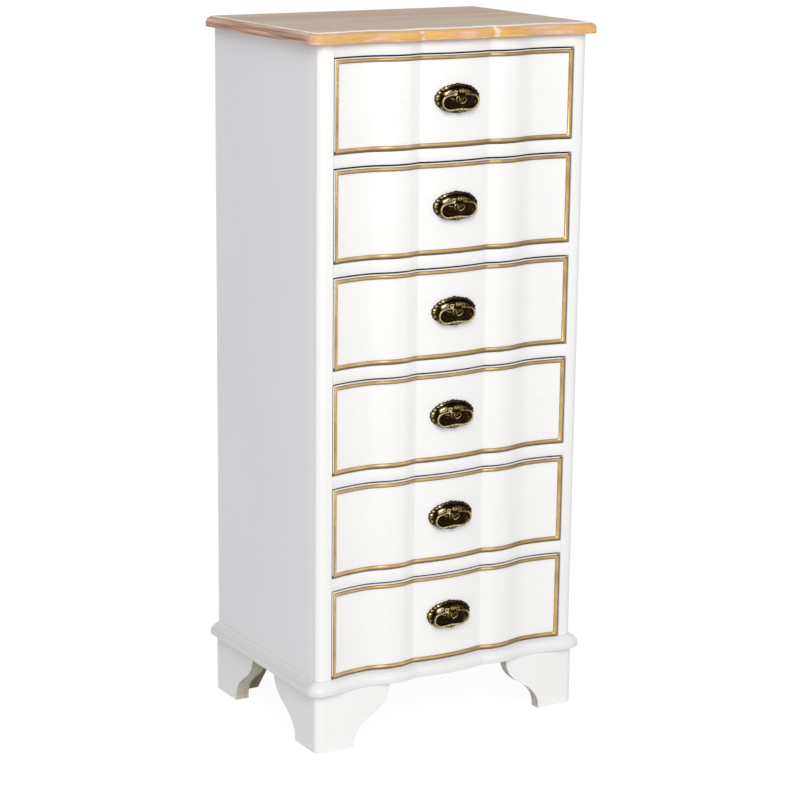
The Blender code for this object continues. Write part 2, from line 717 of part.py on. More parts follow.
def main():
    clear_scene()
    paint = material("white_paint", (0.87, 0.87, 0.85), 0.45)
    wood = material("washed_wood", (0.42, 0.29, 0.19), 0.55)
    gilt = material("gilt_bead", (0.56, 0.38, 0.15), 0.40, 0.6)
    box_wood = material("drawer_wood", (0.62, 0.48, 0.33), 0.65)
    ply = material("plywood", (0.66, 0.53, 0.38), 0.70)
    board = material("back_board", (0.48, 0.36, 0.25), 0.75)
    brass = material("dark_brass", (0.11, 0.08, 0.04), 0.38, 0.9)
    make_case(paint, wood, board)
    make_drawers(paint, gilt, box_wood, ply, brass)


main()
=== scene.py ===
"""Looks of the chiffonier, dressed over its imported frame. Metres, +Z up, the front looks along -Y."""

import json
from itertools import chain
from math import ceil, cos, degrees, exp, hypot, pi, radians, sin, sqrt

import bmesh
import bpy
from mathutils import Matrix, Vector, noise
from mathutils.geometry import interpolate_bezier


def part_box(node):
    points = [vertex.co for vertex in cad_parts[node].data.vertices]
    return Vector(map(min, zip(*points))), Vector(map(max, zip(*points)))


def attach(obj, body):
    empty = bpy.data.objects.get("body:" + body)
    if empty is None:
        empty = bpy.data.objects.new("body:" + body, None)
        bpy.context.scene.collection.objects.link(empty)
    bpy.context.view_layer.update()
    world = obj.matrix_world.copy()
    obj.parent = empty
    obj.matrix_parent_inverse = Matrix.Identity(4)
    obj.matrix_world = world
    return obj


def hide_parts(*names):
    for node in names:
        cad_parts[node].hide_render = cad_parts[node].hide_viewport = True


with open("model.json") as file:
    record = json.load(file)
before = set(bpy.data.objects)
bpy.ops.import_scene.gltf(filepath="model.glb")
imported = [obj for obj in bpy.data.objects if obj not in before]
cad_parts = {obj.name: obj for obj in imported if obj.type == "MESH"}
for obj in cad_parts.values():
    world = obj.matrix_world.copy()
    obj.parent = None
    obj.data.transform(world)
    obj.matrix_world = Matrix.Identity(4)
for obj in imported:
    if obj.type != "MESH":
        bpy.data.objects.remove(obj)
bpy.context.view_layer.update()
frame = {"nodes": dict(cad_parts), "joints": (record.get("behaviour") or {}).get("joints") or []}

# Camera, fitted to the photograph
CAMERA_PLACE = (-1.9212, -3.1998, 1.4086)
CAMERA_YAW = radians(31.008)
CAMERA_PITCH = radians(13.696)
CAMERA_ROLL = radians(0.653)
FOCAL_PIXELS = 2413.3
IMAGE_PIXELS = 800
SENSOR_WIDTH = 36.0

# Light
FRONT_LIGHT_FROM = (-0.25, -1.0, 0.62)
FRONT_LIGHT_SPREAD = radians(32)
FRONT_LIGHT_STRENGTH = 0.92
BOX_PLACE = (-1.15, -2.10, 2.20)
BOX_AIM = (0.0, 0.0, 0.85)
BOX_SIZE = 1.6
BOX_POWER = 29.5
LAMP_COLOUR = (1.0, 0.992, 0.955)
ROOM_COLOUR = (0.94, 0.94, 1.0, 1.0)
ROOM_STRENGTH = 0.475
FLOOR_SIZE = 40.0
FLOOR_BOUNCE = 0.80
FLOOR_COLOUR = 0.13
FLOOR_GLOW = 0.935

# Sizes that the frame gives
TOP_LOW, TOP_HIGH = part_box("top")
BASE_LOW, BASE_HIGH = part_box("base_board")
POST_LOW, POST_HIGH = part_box("front_post_right")
PANEL_FRONT_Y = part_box("side_panel_right")[0].y
FOOT_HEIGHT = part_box("foot_front_right")[1].z
RAIL_LOW, RAIL_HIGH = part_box("top_rail")
FACE_Y = POST_LOW.y
OPENING_HALF = POST_LOW.x
CASE_HALF = POST_HIGH.x
BACK_Y = TOP_HIGH.y
DRAWERS = range(1, sum(name.endswith("_bail") for name in frame["nodes"]) + 1)
HINGES = [joint for joint in frame["joints"] if joint["type"] == "hinge"]
PIVOTS = {joint["child"]: Vector(joint["pos_m"]) for joint in HINGES}

# Gap between pieces that touch
FIT = 0.0003

# Serpentine line of the front
CREASE_X = 0.061
SLOPE_END_X = 0.078
RIDGE_X = 0.088
HOLLOW_START_X = 0.097
HOLLOW_X = 0.147
CREASE_DEPTH = 0.0064
SLOPE_END_DEPTH = 0.00145
HOLLOW_DEPTH = 0.0092
CREASE_SOFTNESS = 0.0009
STATION_STEP = 0.0025

# Edges of the boards
ARRIS = 0.0006
TOP_CORNER_RADIUS = 0.017
TOP_FILLET_WIDTH = 0.0046
TOP_FILLET_FALL = 0.0005
TOP_QUIRK_DEPTH = 0.0018
TOP_ROUND_WIDTH = 0.0070
TOP_ROUND_HEIGHT = 0.0075
TOP_UNDERCUT = 0.0012
# White wash on the top, partly painted highlight: strongest along the front, fading out round the corners
# to the sides
WASH_INSETS = (0.018, 0.0110, 0.0075, 0.0040)
WASH_AND_HIGHLIGHT_SHARES = (0.0, 0.10, 0.35, 0.70)
FRONT_FADE_START = 0.020
FRONT_FADE_LENGTH = 0.032
RUBBED_X = CREASE_X + 0.003
RUBBED_WIDTH = 0.0050
LOWER_WASH_HEIGHT = 0.003
LOWER_WASH_FADE = 0.002
TOP_ARRIS_STEPS = 2
TOP_FILLET_STEPS = 4
TOP_ROUND_STEPS = 12
EDGE_COLOUR_STEPS = 14
DUST_BOARD_THICKNESS = 0.010
BASE_CORNER_RADIUS = 0.022
BASE_LEDGE_WIDTH = 0.0020
BASE_SLOPE_WIDTH = 0.0120
BASE_SLOPE_HEIGHT = 0.0105
BASE_ROUNDING = 0.0022
BASE_SWELL = 0.0007
BASE_LEDGE_STEPS = 3
# Painted shade on the base moulding fades out over these steps of its profile
BASE_SHADE_END = 16
BASE_SHADE_FADE = 5
POST_ROUNDING = 0.014
BROAD_TURN = 62
INNER_RADIUS = 0.001
CORNER_STEPS = 14
SIDE_STATIONS = (0.006, 0.014, 0.024)
FULL_FRONT = 0.6

# Drawer fronts
FRONT_THICKNESS = 0.024
BEAD_MARGIN = 0.0016
BEAD_WIDTH = 0.006
BEAD_HEIGHT = 0.0028
BEAD_ROOT = 0.0004
PAINT_LAP = 0.0050
FRONT_EASE = 0.0006
SLOPE_REACH = 0.002

# Feet
FOOT_OUTSET = 0.003
FOOT_CORNER_RADIUS = 0.014
BRACKET_LENGTH = 0.129
FRONT_SIDE_LENGTH = 0.140
BACK_SIDE_LENGTH = 0.125
BRACKET_THICKNESS = 0.023
FRONT_BRACKET_THICKNESS = 0.0185
BACK_BRACKET_THICKNESS = 0.030
TOE_WIDTH = 0.0655
FRONT_SIDE_TOE = 0.0695
BACK_SIDE_TOE = 0.066
BACK_TOE_WIDTH = 0.059
BACK_SLANT_END = 0.116
TOE_RISE = 0.005
TIP_HEIGHT = 0.0055
OGEE_TURN = radians(45)
GLUE_BLOCK_SIZE = 0.016
GLUE_BLOCK_LIFT = 0.005

# Handles
PLATE_WIDTH = 0.0780
PLATE_HEIGHT = 0.044
PLATE_FINIAL = 0.0012
FINIAL_SPREAD = radians(9)
PLATE_TURNS = 288
RIM_WIDTH = 0.0058
RIM_STEPS = 14
RIM_BROAD_AT = radians(84)
RIM_BROAD_SPREAD = radians(26)
RIM_TOP_SPREAD = radians(20)
FIELD_STEPS = 24
LEAF_ENDS = (-9, 9, 20, 31, 43, 56, 70, 86, 104, 124, 180)
LEAF_SLANT = 5.0
LEAF_NOTCH = 0.0012
PLAIN_START = 104
PLAIN_FADE = 25
KNOB_TURNS = (37, 80)
KNOB_SPREAD = radians(5)
KNOB_OUT = 0.0006
KNOB_RELIEF = 0.0014
RIM_BASE = 0.0016
RIM_SWELL = 0.0028
FINIAL_RELIEF = 0.0012
FIELD_HEIGHT = 0.0018
FILLET_RELIEF = 0.0009
LOBE_X = 0.0172
LOBE_Z = 0.0080
LOBE_RADII = (0.0085, 0.0052)
LOBE_TILT = 0.22
LOBE_HEIGHT = 0.0030
BOSS_X = 0.0040
BOSS_Z = -0.0028
BOSS_RADII = (0.0090, 0.0052)
BOSS_RELIEF = 0.0008
RIB_RISE = 0.0018
KNUCKLE_LENGTH = 0.008
KNUCKLE_RISE = 0.0034
BORE_RADIUS = 0.0018
NECK_SINK = 0.0015
PIN_RADIUS = 0.0014
PIN_ROOT_RADIUS = 0.0019
PIN_INNER_X = 0.0006
PIN_OVERLAP = 0.0010
BAIL_SHOULDER = 0.0025
BAIL_WIDTH = 0.0625
BAIL_DROP = 0.0284
BAIL_STANDOFF = -0.0010
BAIL_VOXEL = 0.0004
GRIP_SHARE = 0.95
GRIP_BEAD_BACK = 0.0003
TIP_RADIUS = 0.0008
TIP_GROWTH = 0.0009
BAIL_RADIUS = 0.0017
BAIL_GROWTH = 0.0003
SCROLL_X = 0.0108
SCROLL_Z = -0.0022
SCROLL_RADIUS = 0.0041
SCROLL_START = radians(-200)
SCROLL_END = radians(270)
SCROLL_STEPS = 26

# Steps of the knuckle from its end to its middle, at half its length: along, radius
KNUCKLE_STEPS = ((0.0, 0.0028), (0.0003, 0.0033), (0.0012, 0.0036), (0.0018, 0.0030), (0.0040, 0.0032))

# Rings of its neck, from the plate: share of the way, half width, half height
NECK_RINGS = ((0.0, 0.0052, 0.0058), (0.35, 0.0034, 0.0040), (0.75, 0.0027, 0.0026), (1.0, 0.0026, 0.0022))

# Ribs cast on the plate's field: lines through (x, z, radius) knots
FIELD_RIBS = (
    (
        (-0.0035, -0.0056, 0.0007), (-0.0037, -0.0010, 0.0011), (-0.0019, 0.0023, 0.0012),
        (0.0006, 0.0024, 0.0012), (0.0019, -0.0003, 0.0011), (0.0029, -0.0046, 0.0011),
        (0.0057, -0.0074, 0.0012), (0.0107, -0.0066, 0.0012), (0.0140, -0.0033, 0.0012),
        (0.0130, 0.0000, 0.0011), (0.0100, 0.0008, 0.0010), (0.0079, -0.0010, 0.0009),
        (0.0084, -0.0031, 0.0007),
    ),
    (
        (-0.0175, 0.0016, 0.0004), (-0.0125, 0.0006, 0.0011),
        (-0.0085, -0.0006, 0.0012), (-0.0052, -0.0018, 0.0006),
    ),
    ((-0.0140, -0.0036, 0.0004), (-0.0105, -0.0044, 0.0009), (-0.0070, -0.0034, 0.0005)),
)

# Beads and leaves on the grip: out from its middle, up from its line, radius
GRIP_BEADS = (
    (0.0, -0.0037, 0.0022), (0.0041, -0.0031, 0.0020),
    (0.0075, -0.0018, 0.0015), (0.0, 0.0002, 0.0021),
)

# The bail's line round one lobe: shares of the way out to the side and of the drop
BAIL_ROUTE = (
    (0.00, 0.03), (0.18, 0.19), (0.56, 0.22), (0.86, 0.32),
    (1.00, 0.54), (0.93, 0.78), (0.62, 0.97), (0.22, 0.98),
)

# Camera, lights and floor


def put(name, data):
    """A new object in the scene."""
    made = bpy.data.objects.new(name, data)
    bpy.context.scene.collection.objects.link(made)
    return made


def make_camera():
    flat = cos(CAMERA_PITCH)
    ahead = Vector((sin(CAMERA_YAW) * flat, cos(CAMERA_YAW) * flat, -sin(CAMERA_PITCH)))
    level = Vector((cos(CAMERA_YAW), -sin(CAMERA_YAW), 0.0))
    upward = level.cross(ahead)
    right = cos(CAMERA_ROLL) * level + sin(CAMERA_ROLL) * upward
    up = -sin(CAMERA_ROLL) * level + cos(CAMERA_ROLL) * upward
    data = bpy.data.cameras.new("camera")
    data.sensor_width = SENSOR_WIDTH
    data.lens = FOCAL_PIXELS / IMAGE_PIXELS * SENSOR_WIDTH
    camera = put("camera", data)
    turn = Matrix((right, up, -ahead)).transposed().to_4x4()
    camera.matrix_world = Matrix.Translation(CAMERA_PLACE) @ turn
    bpy.context.scene.camera = camera


def add_lamp(name, kind, power, aim, place=(0.0, 0.0, 0.0)):
    data = bpy.data.lights.new(name, kind)
    data.energy = power
    data.color = LAMP_COLOUR
    lamp = put(name, data)
    lamp.location = place
    lamp.rotation_euler = Vector(aim).to_track_quat("Z", "Y").to_euler()
    return data


def make_lamps():
    """A wide even light from the front and a soft box near the upper part, both a little to the left."""
    wide = add_lamp("front_light", "SUN", FRONT_LIGHT_STRENGTH, FRONT_LIGHT_FROM)
    wide.angle = FRONT_LIGHT_SPREAD
    box = add_lamp("soft_box", "AREA", BOX_POWER, Vector(BOX_PLACE) - Vector(BOX_AIM), BOX_PLACE)
    box.shape = "SQUARE"
    box.size = BOX_SIZE


def fill(tree, node, values):
    """Gives the inputs of a node a value each, or a link from a socket."""
    for name, value in values.items():
        if isinstance(value, bpy.types.NodeSocket):
            tree.links.new(value, node.inputs[name])
        else:
            node.inputs[name].default_value = value


def add(tree, kind, values, output=0, **settings):
    """One output of a new node with its settings and inputs."""
    made = tree.nodes.new(kind)
    for name, value in settings.items():
        setattr(made, name, value)
    fill(tree, made, values)
    return made.outputs[output]


def grey(level):
    return (level, level, level, 1.0)


def reckoned(tree, operation, first, second):
    return add(tree, "ShaderNodeMath", {0: first, 1: second}, operation=operation)


def shown_rays(tree):
    """1 for what the camera sees, directly, in a gloss or through glass."""
    path = tree.nodes.new("ShaderNodeLightPath").outputs
    direct = reckoned(tree, "MAXIMUM", path["Is Camera Ray"], path["Is Glossy Ray"])
    return reckoned(tree, "MAXIMUM", direct, path["Is Transmission Ray"])


def lit_and_shown(tree, output_kind, lighting, shown):
    """One shader for the light that reaches the object, and another for what the camera sees."""
    mix = add(tree, "ShaderNodeMixShader", {"Fac": shown_rays(tree), 1: lighting, 2: shown})
    fill(tree, tree.nodes.new(output_kind), {"Surface": mix})


def make_world():
    """Soft light from all sides, shown as plain white."""
    world = bpy.data.worlds.new("world")
    bpy.context.scene.world = world
    world.use_nodes = True
    tree = world.node_tree
    tree.nodes.clear()
    shown = add(tree, "ShaderNodeBackground", {"Color": grey(1.0), "Strength": 1.0})
    lighting = add(tree, "ShaderNodeBackground", {"Color": ROOM_COLOUR, "Strength": ROOM_STRENGTH})
    lit_and_shown(tree, "ShaderNodeOutputWorld", lighting, shown)


def make_floor():
    """A plain pale floor that keeps a faint shadow."""
    signs = ((-1, -1), (1, -1), (1, 1), (-1, 1))
    mesh = bpy.data.meshes.new("floor")
    mesh.from_pydata([(FLOOR_SIZE * x, FLOOR_SIZE * y, 0.0) for x, y in signs], [], [(0, 1, 2, 3)])
    floor = put("floor", mesh)
    material = bpy.data.materials.new("floor")
    material.use_nodes = True
    tree = material.node_tree
    tree.nodes.clear()
    bounce = add(tree, "ShaderNodeBsdfDiffuse", {"Color": grey(FLOOR_BOUNCE)})
    surface = add(tree, "ShaderNodeBsdfDiffuse", {"Color": grey(FLOOR_COLOUR)})
    glow = add(tree, "ShaderNodeEmission", {"Color": grey(1.0), "Strength": FLOOR_GLOW})
    shown = add(tree, "ShaderNodeAddShader", {0: surface, 1: glow})
    lit_and_shown(tree, "ShaderNodeOutputMaterial", bounce, shown)
    mesh.materials.append(material)


# Material helpers


def new_material(name, roughness, metallic=0.0):
    material = bpy.data.materials.new(name)
    material.use_nodes = True
    tree = material.node_tree
    fill(tree, tree.nodes["Principled BSDF"], {"Roughness": roughness, "Metallic": metallic})
    return material, tree


def streaks(tree, scale, detail=5.0, distortion=0.0, offset=0.0):
    """Noise in the piece's own coordinates, drawn out where the scale is small, round 0.5."""
    place = add(tree, "ShaderNodeTexCoord", {}, "Object")
    shift = (offset, offset, offset)
    place = add(tree, "ShaderNodeMapping", {"Vector": place, "Scale": scale, "Location": shift})
    values = {"Vector": place, "Scale": 1.0, "Detail": detail, "Distortion": distortion}
    return add(tree, "ShaderNodeTexNoise", values, "Fac")


def ramp(tree, value, stops):
    """A colour from a value, through (place, colour) stops."""
    made = tree.nodes.new("ShaderNodeValToRGB")
    fill(tree, made, {"Fac": value})
    band = made.color_ramp
    while len(band.elements) < len(stops):
        band.elements.new(1.0)
    for element, (place, colour) in zip(band.elements, stops):
        element.position = place
        element.color = (*colour, 1.0)
    return made.outputs["Color"]


def blended(tree, share, first, second, blend="MIX"):
    """Two colours mixed by a share."""
    values = {"Factor": share, 6: first, 7: second}
    return add(tree, "ShaderNodeMix", values, 2, data_type="RGBA", blend_type=blend)


def spread(tree, value, low, high, to_low=0.0, to_high=1.0):
    """A value mapped from one range to another, and held within it."""
    values = {"Value": value, "From Min": low, "From Max": high, "To Min": to_low, "To Max": to_high}
    return add(tree, "ShaderNodeMapRange", values)


def marks_of(tree):
    """The three values that the mesh carries as its zone."""
    colour = add(tree, "ShaderNodeAttribute", {}, "Color", attribute_name="zone")
    parts = tree.nodes.new("ShaderNodeSeparateColor")
    fill(tree, parts, {"Color": colour})
    return parts.outputs[:3]


def finished(material, colour, height, strength, distance, roughness=None):
    """Links colour, relief and roughness to a material's shader, and returns the material."""
    tree = material.node_tree
    shader = tree.nodes["Principled BSDF"]
    relief = add(tree, "ShaderNodeBump", {"Height": height, "Strength": strength, "Distance": distance})
    fill(tree, shader, {"Base Color": colour, "Normal": relief})
    if roughness is not None:
        fill(tree, shader, {"Roughness": roughness})
    return material


# Tones of the woods and metals, as (place on the noise or on the zone's value, colour)
FACE_TONES = (
    (0.30, (0.41, 0.285, 0.195)), (0.47, (0.48, 0.355, 0.25)),
    (0.60, (0.50, 0.39, 0.29)), (0.74, (0.58, 0.40, 0.28)),
)
PORE_TONES = ((0.30, (0.80, 0.77, 0.74)), (0.50, (1.0, 1.0, 1.0)), (0.70, (1.08, 1.08, 1.08)))
FRONT_TONES = (
    (0.32, (0.58, 0.30, 0.06)), (0.44, (0.74, 0.43, 0.13)),
    (0.54, (0.70, 0.38, 0.17)), (0.66, (0.80, 0.52, 0.38)),
)
SIDE_TONES = (
    (0.34, (0.24, 0.13, 0.07)), (0.46, (0.44, 0.235, 0.135)),
    (0.56, (0.52, 0.31, 0.205)), (0.68, (0.79, 0.58, 0.47)),
)
GOLD_TONES = ((0.32, (0.50, 0.34, 0.13)), (0.50, (0.57, 0.40, 0.165)), (0.68, (0.66, 0.48, 0.23)))
# Painted highlight on the gilt, from dark through plain to bright
GOLD_HIGHLIGHT = ((0.0, (0.0, 0.0, 0.0)), (0.5, (0.92, 0.90, 0.86)), (1.0, (1.50, 1.53, 1.60)))
# The brightest stops serve rubbed ridges and the painted highlights and reflection
BRASS_TONES = (
    (0.0, (0.010, 0.005, 0.0015)), (0.25, (0.026, 0.014, 0.003)), (0.50, (0.135, 0.093, 0.026)),
    (0.80, (0.44, 0.34, 0.145)), (1.0, (0.84, 0.79, 0.70)),
)
# Painted shade on the gilt: the beads' lower and right flanks and the margins below and right of them
GILT_SHADE = (0.105, 0.078, 0.036, 1.0)
# White wash, which also stands in for painted highlight along the top's front arris
WASH_AND_HIGHLIGHT = (1.0, 0.92, 0.86, 1.0)
PAINT_BRIGHT = (0.905, 0.905, 0.895)
PAINT_DULL = (0.885, 0.885, 0.87)
# Tone of the painted shade on the base moulding
PAINT_SHADE_TONE = (0.62, 0.62, 0.63, 1.0)
# The sides' paint is the front's white paint made a little darker and cooler: painted shade of the less
# lit sides
SIDE_BRIGHT = (0.885, 0.88, 0.89)
SIDE_DULL = (0.865, 0.86, 0.875)
BOX_TONES = ((0.52, 0.38, 0.24), (0.60, 0.45, 0.30), (0.68, 0.53, 0.37))

# Bare woods: roughness, scale of the grain along each axis, smallest along the grain, and three tones
WOODS = {
    "sawn_wood": (0.6, (160.0, 160.0, 160.0), (0.58, 0.53, 0.43), (0.66, 0.61, 0.51), (0.72, 0.67, 0.58)),
    "inner_wood": (0.6, (120.0, 120.0, 120.0), (0.34, 0.29, 0.19), (0.41, 0.36, 0.25), (0.48, 0.43, 0.32)),
    # Bare wood of the fronts' edges, dark as painted shade of the gaps round the drawers
    "gap_shaded_edge_wood": (0.6, (90.0, 90.0, 90.0), (0.15, 0.115, 0.085), (0.19, 0.15, 0.112), (0.23, 0.185, 0.14)),
    "wood_along": (0.6, (200.0, 8.0, 200.0), *BOX_TONES),
    "wood_across": (0.6, (8.0, 200.0, 200.0), *BOX_TONES),
    "plywood": (0.6, (10.0, 120.0, 120.0), (0.58, 0.44, 0.29), (0.66, 0.52, 0.36), (0.72, 0.58, 0.42)),
    "back_board": (0.7, (60.0, 60.0, 5.0), (0.40, 0.29, 0.19), (0.47, 0.35, 0.24), (0.53, 0.41, 0.29)),
}

# Materials


def painted(name, stroke, light, dark, strength=0.04, shade_tone=None):
    """Satin paint with faint brush strokes and slight clouds, and, if given, a darker tone by zone that
    paints in shade.
    """
    material, tree = new_material(name, 0.42)
    clouds = streaks(tree, (5.0, 5.0, 3.0), detail=2.0, offset=3.1)
    tone = ramp(tree, clouds, [(0.35, dark), (0.65, light)])
    if shade_tone:
        tone = blended(tree, marks_of(tree)[0], tone, shade_tone)
    brush = streaks(tree, stroke, detail=4.0)
    strokes = ramp(tree, brush, [(0.30, (0.988, 0.988, 0.988)), (0.60, (1.0, 1.0, 1.0))])
    colour = blended(tree, 1.0, tone, strokes, "MULTIPLY")
    return finished(material, colour, brush, strength, 0.0002, spread(tree, brush, 0.3, 0.7, 0.36, 0.50))


def plain_wood(name, roughness, stretch, dark, middle, light):
    """Bare wood whose grain runs along the axis with the smallest scale."""
    material, tree = new_material(name, roughness)
    figure = streaks(tree, tuple(0.12 * s for s in stretch), detail=4.0, distortion=0.8)
    grain = streaks(tree, stretch, detail=6.0, offset=1.7)
    colour = ramp(tree, figure, [(0.30, dark), (0.52, middle), (0.72, light)])
    lines = ramp(tree, grain, [(0.34, (0.80, 0.76, 0.70)), (0.56, (1.0, 1.0, 1.0))])
    return finished(material, blended(tree, 1.0, colour, lines, "MULTIPLY"), grain, 0.25, 0.0003)


def washed_wood():
    """Limed wood: greyed on its face, warm on its front edge, brown with white streaks on its sides. Along
    the front its white wash is partly painted highlight.
    """
    material, tree = new_material("washed_wood", 0.5)
    edge, front, arris = marks_of(tree)
    figure = streaks(tree, (1.6, 13.0, 13.0), distortion=0.7)
    grain = streaks(tree, (7.0, 260.0, 260.0), offset=2.3)
    face = blended(tree, 1.0, ramp(tree, figure, FACE_TONES), ramp(tree, grain, PORE_TONES), "MULTIPLY")
    long_front = streaks(tree, (9.0, 60.0, 130.0), detail=4.0, distortion=0.4, offset=5.0)
    front_colour = ramp(tree, long_front, FRONT_TONES)
    long_side = streaks(tree, (70.0, 7.0, 260.0), detail=4.0, distortion=0.3, offset=7.0)
    side_colour = ramp(tree, long_side, SIDE_TONES)
    edge_colour = blended(tree, front, side_colour, front_colour)
    colour = blended(tree, edge, face, edge_colour)
    rubbed = streaks(tree, (60.0, 35.0, 330.0), detail=3.0, offset=9.0)
    patchy = reckoned(tree, "ADD", arris, spread(tree, rubbed, 0.25, 0.75, -0.35, 0.35))
    # The wash, partly painted highlight along the front arris
    wash_and_highlight = reckoned(tree, "MULTIPLY", spread(tree, arris, 0.0, 0.15), spread(tree, patchy, 0.10, 0.70))
    colour = blended(tree, wash_and_highlight, colour, WASH_AND_HIGHLIGHT)
    return finished(material, colour, grain, 0.2, 0.0003, spread(tree, grain, 0.3, 0.7, 0.42, 0.60))


def gilt():
    """Gold paint with painted shade where the bead turns down or away from the light, and a painted
    highlight along it.
    """
    material, tree = new_material("gilt", 0.26, 0.65)
    gilt_shade, highlight = marks_of(tree)[:2]
    mottle = streaks(tree, (40.0, 40.0, 40.0), detail=4.0)
    # Here worn is the painted highlight along the bead
    worn = ramp(tree, highlight, GOLD_HIGHLIGHT)
    gold = blended(tree, 1.0, ramp(tree, mottle, GOLD_TONES), worn, "MULTIPLY")
    colour = blended(tree, gilt_shade, gold, GILT_SHADE)
    return finished(material, colour, mottle, 0.05, 0.0003, spread(tree, mottle, 0.3, 0.7, 0.20, 0.30))


def dark_brass():
    """Cast brass with a near black patina in its recesses, rubbed bright on its ridges, with painted
    highlights on the rim's left, a painted reflection on the plate's left lobe and painted shade on the
    bail's right shoulder.
    """
    material, tree = new_material("dark_brass", 0.28, 0.95)
    wear_and_sheen = marks_of(tree)[0]
    mottle = streaks(tree, (260.0, 260.0, 260.0), detail=4.0)
    uneven = reckoned(tree, "ADD", wear_and_sheen, spread(tree, mottle, 0.3, 0.7, -0.10, 0.10))
    colour = ramp(tree, uneven, BRASS_TONES)
    return finished(material, colour, mottle, 0.12, 0.0002, spread(tree, mottle, 0.3, 0.7, 0.20, 0.38))


def make_materials():
    along_z, along_x = (130.0, 130.0, 3.0), (3.0, 130.0, 130.0)
    paint = PAINT_BRIGHT, PAINT_DULL
    made = {
        "paint_upright": painted("paint_upright", along_z, *paint),
        "paint_across": painted("paint_across", along_x, *paint),
        # The base paint takes painted shade by zone
        "paint_base": painted("paint_base", along_x, *paint, shade_tone=PAINT_SHADE_TONE),
        # Painted shade: the sides' paint is darker and cooler than the front's
        "paint_side": painted("paint_side", (130.0, 46.0, 1.6), SIDE_BRIGHT, SIDE_DULL, 0.06),
        "washed_wood": washed_wood(),
        "gilt": gilt(),
        "dark_brass": dark_brass(),
    }
    return made | {name: plain_wood(name, *kind) for name, kind in WOODS.items()}


# Mesh helpers


def solid(name, points, faces, materials, sharp=35):
    """A mesh with its faces turned outward, smooth but for sharp edges and the rims of its flat ends."""
    mesh = bpy.data.meshes.new(name)
    mesh.from_pydata(points, [], faces)
    for one in materials:
        mesh.materials.append(one)
    bm = bmesh.new()
    bm.from_mesh(mesh)
    bmesh.ops.recalc_face_normals(bm, faces=bm.faces)
    soften(bm, sharp)
    bm.to_mesh(mesh)
    bm.free()
    return mesh


def soften(bm, sharp):
    for face in bm.faces:
        face.smooth = True
    for edge in bm.edges:
        corners = max(len(face.verts) for face in edge.link_faces)
        edge.smooth = corners <= 4 and edge.calc_face_angle(0.0) < radians(sharp)


def lofted(rings, joined=False):
    """Points and faces through closed rings, capped at both ends or joined into a loop."""
    count = len(rings[0])
    points = [point for ring in rings for point in ring]
    faces = []
    for r in range(len(rings) if joined else len(rings) - 1):
        first = r * count
        second = (r + 1) % len(rings) * count
        for k in range(count):
            after = (k + 1) % count
            faces.append((first + k, first + after, second + after, second + k))
    if not joined:
        faces.append(tuple(range(count)))
        faces.append(tuple(range(len(points) - count, len(points))))
    return points, faces


def upright(plan, low, high):
    """Points and faces of a closed solid over a plan, between two heights."""
    return lofted([[(x, y, z) for x, y in plan] for z in (low, high)])


def turns(count):
    """Angles once round in even steps."""
    return [2 * pi * k / count for k in range(count)]


def mirrored(plan):
    """The points of a plan on the other side, from its last to its first."""
    return [(-x, y) for x, y in reversed(plan)]


def marked(mesh, rule):
    """Gives each point a colour named zone, with up to three values from its number and place."""
    layer = mesh.color_attributes.new("zone", "FLOAT_COLOR", "POINT")
    for number, (vertex, mark) in enumerate(zip(mesh.vertices, layer.data)):
        mark.color = (*rule(number, vertex.co), 0.0, 0.0)[:3] + (1.0,)
    return mesh


def piece(name, mesh, body, slot, *replaced, location=(0.0, 0.0, 0.0)):
    made = put(name, mesh)
    made.location = location
    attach(made, body)
    if replaced:
        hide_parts(*replaced)


def held(value, low=0.0, high=1.0):
    return max(low, min(high, value))


def arc(centre, radius, start, stop, steps):
    """Points of an arc, with angles in degrees from the first axis."""
    angles = [radians(start + (stop - start) * k / steps) for k in range(steps + 1)]
    return [(centre[0] + radius * cos(a), centre[1] + radius * sin(a)) for a in angles]


def plain_recess(x):
    """How far the front lies behind the posts: a middle lobe, two steep creases, two hollows."""
    s = abs(x)
    if s < CREASE_X:
        return CREASE_DEPTH * (s / CREASE_X) ** 2
    if s < SLOPE_END_X:
        fall = SLOPE_END_DEPTH - CREASE_DEPTH
        return CREASE_DEPTH + fall * (s - CREASE_X) / (SLOPE_END_X - CREASE_X)
    if s < RIDGE_X:
        return SLOPE_END_DEPTH * ((RIDGE_X - s) / (RIDGE_X - SLOPE_END_X)) ** 2
    if s < HOLLOW_START_X:
        return 0.0
    if s < HOLLOW_X:
        return HOLLOW_DEPTH * (1 - cos(pi * (s - HOLLOW_START_X) / (HOLLOW_X - HOLLOW_START_X))) / 2
    if s < OPENING_HALF:
        return HOLLOW_DEPTH * (1 - ((s - HOLLOW_X) / (OPENING_HALF - HOLLOW_X)) ** 2)
    return 0.0


def front_recess(x):
    """The same line with its creases softened, as the paint leaves them."""
    left, right = x - CREASE_SOFTNESS, x + CREASE_SOFTNESS
    return (plain_recess(left) + 2 * plain_recess(x) + plain_recess(right)) / 4


def stations(end):
    """X places from -end to end, close enough for a smooth curve, with one on each crease."""
    marks = [0.0, CREASE_X, SLOPE_END_X, HOLLOW_START_X, HOLLOW_X, end]
    half = [0.0]
    for a, b in zip(marks, marks[1:]):
        count = ceil((b - a) / STATION_STEP)
        half += [a + (b - a) * (k + 1) / count for k in range(count)]
    return [-x for x in reversed(half[1:])] + half


# Case


